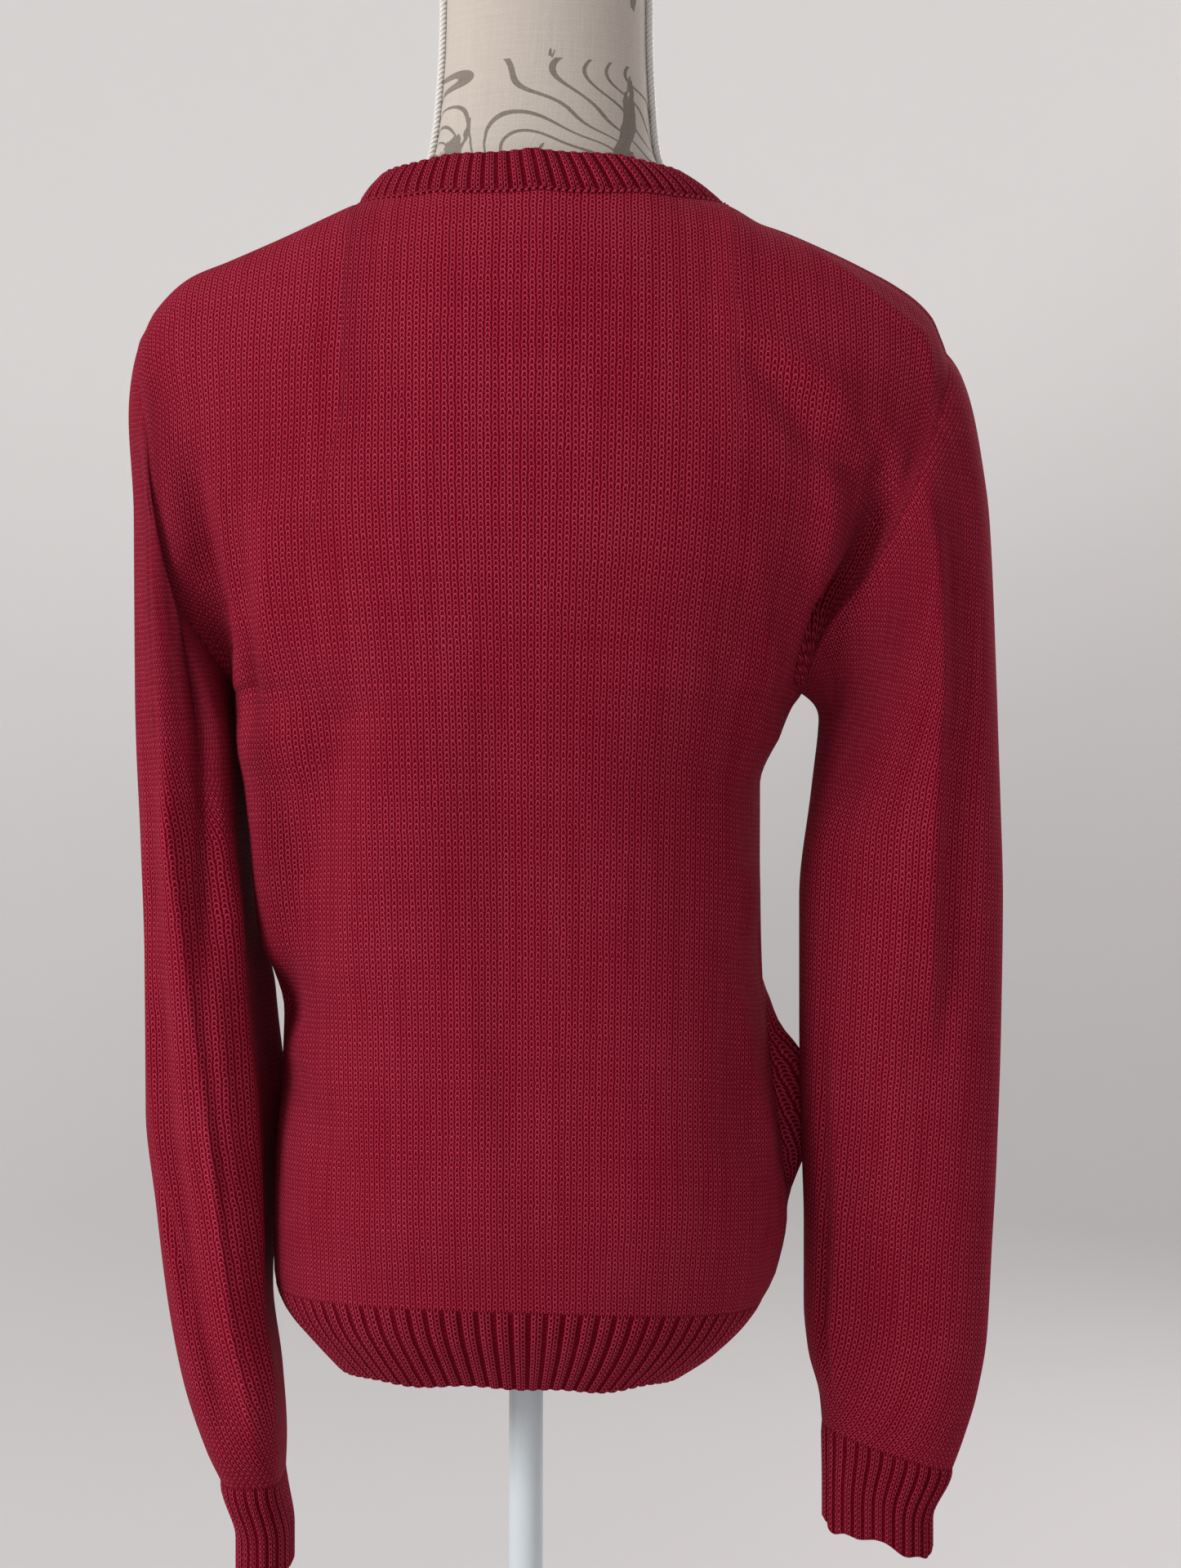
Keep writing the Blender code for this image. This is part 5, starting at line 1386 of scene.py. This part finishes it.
def formPoints(j, share, side):
    sign = 1 if side == "back" else -1
    tip, reach = form["rows"][-1][0], form["rows"][-1][1]
    part = j / form["halfColumns"]
    low = signedPower(np.sin(part * math.pi / 2), 2 / garment["sideRounding"])
    power = math.log(form["neckReach"] / reach) / math.log(form["neckColumns"] / form["halfColumns"])
    high = signedPower(part, power)
    u = low + (high - low) * ease(share * 1.4 - 0.4)
    nearNeck = 1 - ease((np.abs(high * reach) - garment["neckReach"]) / form["neckFade"])
    crest = crestHeight(high * reach) - (garment["wall"] + form["clearance"]) * form["wallRoom"]
    crest = crest - form["neckClearance"] * nearNeck
    atTip = np.abs(part) > 0.9999
    crest = np.where(atTip, tip + form["tipTilt"] * high, crest)
    under = garment["underarm"]
    full = curve(form, side, under)
    near = np.minimum(np.abs(high * reach) / form["neckReach"], 1)
    neck = form["neckDepth"][side] * np.sqrt(np.maximum(1 - near ** 2, 0))
    atNeck = np.abs(j) < form["neckColumns"] - 1e-9
    quarter = np.where(atNeck, np.arccos((neck / full) ** (garment["domeRounding"] / 2)), math.pi / 2)
    angle = quarter * np.maximum(share * 2 - 1, 0) ** form["upperSpread"]
    climb = np.sin(angle) ** (2 / garment["domeRounding"])
    fall = np.maximum(np.cos(angle), 0) ** (2 / garment["domeRounding"])
    fall = np.where((share >= 1) & ~atNeck, 0, fall)
    height = np.where(share <= 0.5, form["foot"] + (under - form["foot"]) * share * 2,
                      under + (crest - under) * climb)
    shoulder = bodyTable["rows"][-1][0]
    lean = garment["lean"] * ease((height - form["foot"]) / (shoulder - form["foot"]))
    lean = lean + form["hipShift"] * (1 - ease((height - form["hipTop"]) / form["hipFade"]))
    belly = np.sqrt(np.maximum(1 - np.abs(u) ** garment["sideRounding"], 0))
    belly = np.where(atTip, 0, belly)
    half = curve(form, "half", np.minimum(height, tip))
    return np.stack([lean + u * half, sign * curve(form, side, height) * fall * belly, height], -1)


def makeForm():
    # body grids and neck rings share their points, so the cover is one closed skin
    n = form["halfColumns"] * form["stepsToColumn"]
    jValues = np.arange(-n, n + 1) / form["stepsToColumn"]
    shares = np.linspace(0, 1, form["rowCount"] + 1)
    j, share = np.meshgrid(jValues, shares)
    back, front = formPoints(j, share, "back"), formPoints(j, share, "front")
    ring = np.concatenate([back[:, ::-1], front[:, 1:-1]], axis=1)
    length = np.linalg.norm(np.diff(np.concatenate([ring, ring[:, :1]], 1), axis=1), axis=-1)
    wide = np.concatenate([np.zeros((len(ring), 1)), np.cumsum(length, axis=1)], axis=1)
    uv = np.stack([wide, np.concatenate([ring, ring[:, :1]], 1)[..., 2]], -1)
    body = addSkin("formBody", ring, uv, printedLinen, level=garment["level"])
    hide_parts("form_body")
    footRing = ring[0]
    rings = np.array([footRing * (inset, inset, 1) for inset in form["footInsets"]])
    uvFoot = np.concatenate([rings, rings[:, :1]], 1)[..., :2]
    foot = addSkin("formFoot", rings, uvFoot, printedLinen, flip=True, level=garment["level"])

    keep = np.abs(jValues) <= form["neckColumns"] + 1e-9
    base = np.concatenate([back[-1, keep][::-1], front[-1, keep][1:-1]])
    isBack = base[:, 1] >= 0
    depth = np.where(isBack, form["neckDepth"]["back"], form["neckDepth"]["front"])
    turn = np.arctan2(base[:, 1] / depth, (base[:, 0] - garment["lean"]) / form["neckReach"])
    rings = [base]
    start = neckTable["rows"][1][0]
    heights = np.concatenate([[base[:, 2].mean()], np.linspace(start, neckTable["top"], neckTable["rings"])])
    for height in heights[1:]:
        deep = np.where(isBack, curve(neckTable, "back", height), curve(neckTable, "front", height))
        half = curve(neckTable, "half", height)
        rings.append(np.stack([curve(neckTable, "middle", height) + half * np.cos(turn),
                               deep * np.sin(turn), height + 0 * turn], -1))
    rings = np.array(rings)
    wide = np.linalg.norm(np.diff(np.concatenate([rings, rings[:, :1]], 1), axis=1), axis=-1)
    wide = np.concatenate([np.zeros((len(rings), 1)), np.cumsum(wide, axis=1)], axis=1)
    uv = np.stack([wide, np.concatenate([rings, rings[:, :1]], 1)[..., 2]], -1)
    neck = addSkin("formNeck", rings, uv, printedLinen, level=garment["level"])


braid = {
    "radius": 0.0011,        # of each strand
    "lay": 0.0013,           # the strands' distance from the braid's middle
    "strands": 3,
    "pitch": 0.0085,
    "topGap": 0.0015,        # it ends just under the cap
    "bottom": 0.345,
    "step": 0.0009,
    "sewnOn": 0.6,           # how much of a strand's radius stands off the cloth
    "sides": 8,
}


def strandGrid(path, strand):
    tangent = unit(np.gradient(path, axis=0))
    side = unit(np.cross(tangent, (0.0, 1.0, 0.0)))
    other = np.cross(tangent, side)
    run = np.concatenate([[0], np.cumsum(np.linalg.norm(np.diff(path, axis=0), axis=-1))])
    turn = run / braid["pitch"] * 2 * math.pi + strand * 2 * math.pi / braid["strands"]
    centre = path + (side * np.cos(turn)[:, None] + other * np.sin(turn)[:, None]) * braid["lay"]
    along = unit(np.gradient(centre, axis=0))
    first = unit(np.cross(along, tangent + 1e-6))
    second = np.cross(along, first)
    angle = np.arange(braid["sides"]) / braid["sides"] * 2 * math.pi
    return (centre[:, None] + first[:, None] * np.cos(angle)[None, :, None] * braid["radius"]
            + second[:, None] * np.sin(angle)[None, :, None] * braid["radius"])


def makeBraids():
    # a bead-like braid is sewn down each side of the form's neck
    for side, sign in (("left", 1), ("right", -1)):
        heights = np.arange(neckTable["top"] - braid["topGap"], braid["bottom"], -braid["step"])
        half = curve(neckTable, "half", heights) + braid["lay"] + braid["radius"] * braid["sewnOn"]
        path = np.stack([curve(neckTable, "middle", heights) + sign * half, 0 * heights, heights], -1)
        for strand in range(braid["strands"]):
            grid = strandGrid(path, strand)
            uv = np.zeros((grid.shape[0], grid.shape[1] + 1, 2))
            piece = addSkin(f"{side}Braid{strand + 1}", grid, uv, whiteThread, level=garment["level"])


makeForm()
makeBraids()
print("form covered")


# stand

stand = {
    "sides": 96,
    "poleRadius": 0.0098,
    "collarRadius": 0.024,
    "collarHeight": 0.020,
    "baseRadius": 0.170,
    "baseThickness": 0.012,
    "baseEdge": 0.003,
    "bossRadius": 0.016,
    "bossHeight": 0.028,
    "collarRound": 0.004,
    "bossFlare": ((0.060, 0.0004), (0.014, 0.002), (0.006, 0.005), (0.002, 0.010), (0.0, 0.016)),
    "bossRound": 0.002,
    "capHeight": 0.016,
    "capOverhang": 0.002,
    "capLip": 0.002,
    "capRound": 0.008,
    "capCrown": ((0.020, 0.003), (0.036, 0.004)),
}


def turnedPiece(name, node, profile, material, middle=0.0, depth=1.0, level=0.0, sharp=35):
    profile = [(0.0, profile[0][1]), *profile, (0.0, profile[-1][1])]
    turn = np.arange(stand["sides"]) / stand["sides"] * 2 * math.pi
    rings = np.array([np.stack([middle + radius * np.cos(turn), depth * radius * np.sin(turn),
                                height + 0 * turn], -1) for radius, height in profile])
    uv = np.zeros((rings.shape[0], rings.shape[1] + 1, 2))
    piece = addSkin(name, rings, uv, material, flip=True, level=level, sharp=sharp)
    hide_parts(node)


def arc(radius, height, size, start, end, count=5):
    # points on a quarter round, from one angle to the other
    angles = np.radians(np.linspace(start, end, count))
    return [(radius + size * math.cos(a), height + size * math.sin(a)) for a in angles]


def makeStand():
    gap = garment["seamGap"]
    foot = garment["level"] + form["foot"] - gap
    under = foot - stand["collarHeight"]
    radius, bend = stand["collarRadius"], stand["collarRound"]
    turnedPiece("poleCollar", "pole_collar",
                [*arc(radius - bend, under + bend, bend, -90, 0), (radius, foot)],
                palePaint)
    bossTop = stand["baseThickness"] + stand["bossHeight"]
    turnedPiece("pole", "pole", [(stand["poleRadius"], bossTop + gap), (stand["poleRadius"], under - gap)],
                palePaint)
    wide, edge, thick = stand["baseRadius"], stand["baseEdge"], stand["baseThickness"]
    boss, bend = stand["bossRadius"], stand["bossRound"]
    turnedPiece("standBase", "stand_base",
                [*arc(wide - edge, edge, edge, -90, 0), *arc(wide - edge, thick - edge, edge, 0, 90),
                 *[(boss + out, thick + up) for out, up in stand["bossFlare"]],
                 *arc(boss - bend, bossTop - bend, bend, 0, 90)],
                palePaint)
    rows = neckTable["rows"][-1]
    cap = rows[1] + stand["capOverhang"]
    bottom = neckTable["top"] + gap
    top = bottom + stand["capHeight"]
    lip, bend = stand["capLip"], stand["capRound"]
    turnedPiece("neckCap", "neck_cap",
                [(cap - lip / 2, bottom), *arc(cap - lip, bottom + lip * 1.5, lip, -30, 0, 3),
                 *arc(cap - bend, top - bend, bend, 0, 70),
                 *[(cap - inwards, top + up) for inwards, up in stand["capCrown"]]],
                paleWood, middle=rows[4], depth=(rows[2] + rows[3]) / 2 / rows[1],
                level=garment["level"])


makeStand()
print("stand turned")


backdrop = {
    "radius": 6.0,
    "bend": 1.6,         # radius of the round corner between floor and wall
    "height": 4.2,
    "segments": 96,
    "glow": 0.30,        # the wall is evenly lit
    # painted shade: the floor and the wall's foot are painted darker
    "floorPaintedShade": (0.77, 0.765, 0.77),   # the floor and the wall's foot are darker
    # painted shade: the wall on the form's right is painted darker, in place of a shadow
    "sidePaintedShade": (0.86, 0.855, 0.855),   # so is the wall on the form's right
    "bendSteps": 24,
    "shadeHeight": 2.6,
    "sideSlant": 0.8,
    "sideFrom": -0.2,    # slanted heights between which the side shade fades
    "sideTo": 1.8,
}


def shade(tree, shader, place, low, high, tint):
    # paints shade on a finish: darker towards the low end of one coordinate
    share = addNode(tree, "ShaderNodeMapRange", [("Value", place)], interpolation_type="SMOOTHSTEP")
    for name, value in (("From Min", low), ("From Max", high)):
        share.inputs[name].default_value = value
    for name in ("Base Color", "Emission Color"):
        socket = shader.inputs[name]
        before = socket.links[0].from_socket if socket.links else tuple(socket.default_value)[:3]
        darker = addNode(tree, "ShaderNodeMix", data_type="RGBA", blend_type="MULTIPLY")
        darker.inputs[0].default_value = 1.0
        if isinstance(before, tuple):
            darker.inputs[6].default_value = (*before, 1)
        else:
            tree.links.new(before, darker.inputs[6])
        tree.links.new(blend(tree, share.outputs[0], tint, (1.0, 1.0, 1.0)), darker.inputs[7])
        tree.links.new(darker.outputs[2], socket)


def addBackdrop():
    # a pale floor that bends up into a wall all round
    bend, radius, height = backdrop["bend"], backdrop["radius"], backdrop["height"]
    profile = [(0.0, 0.0), (radius - bend, 0.0)]
    profile += [(radius - bend + bend * math.sin(a), bend - bend * math.cos(a))
                for a in np.linspace(0, math.pi / 2, backdrop["bendSteps"] + 1)[1:]]
    profile.append((radius, height))
    turn = np.arange(backdrop["segments"]) / backdrop["segments"] * 2 * math.pi
    rings = np.array([np.stack([r * np.cos(turn), r * np.sin(turn), z + 0 * turn], -1)
                      for r, z in profile])
    index = np.arange(rings.shape[0] * rings.shape[1]).reshape(rings.shape[:2])
    index = np.concatenate([index, index[:, :1]], axis=1)
    mesh = bpy.data.meshes.new("backdrop")
    mesh.from_pydata(rings.reshape(-1, 3).tolist(), [], quads(index, True).tolist())
    mesh.shade_smooth()
    finish = plainFinish("floorPaint", floorPaint)
    shader = finish.node_tree.nodes["Principled BSDF"]
    shader.inputs["Emission Color"].default_value = (*floorPaint["light"], 1)
    shader.inputs["Emission Strength"].default_value = backdrop["glow"]
    tree = finish.node_tree
    place = addNode(tree, "ShaderNodeTexCoord").outputs["Object"]
    parts = addNode(tree, "ShaderNodeSeparateXYZ", [(0, place)])
    # painted shade, low down and on the form's right
    shade(tree, shader, parts.outputs[2], 0.0, backdrop["shadeHeight"], backdrop["floorPaintedShade"])
    slanted = maths(tree, "MULTIPLY_ADD", parts.outputs[0], backdrop["sideSlant"], parts.outputs[2])
    shade(tree, shader, slanted, backdrop["sideFrom"], backdrop["sideTo"], backdrop["sidePaintedShade"])
    mesh.materials.append(finish)
    wall = bpy.data.objects.new("backdrop", mesh)
    bpy.context.scene.collection.objects.link(wall)


addBackdrop()
print("backdrop set")
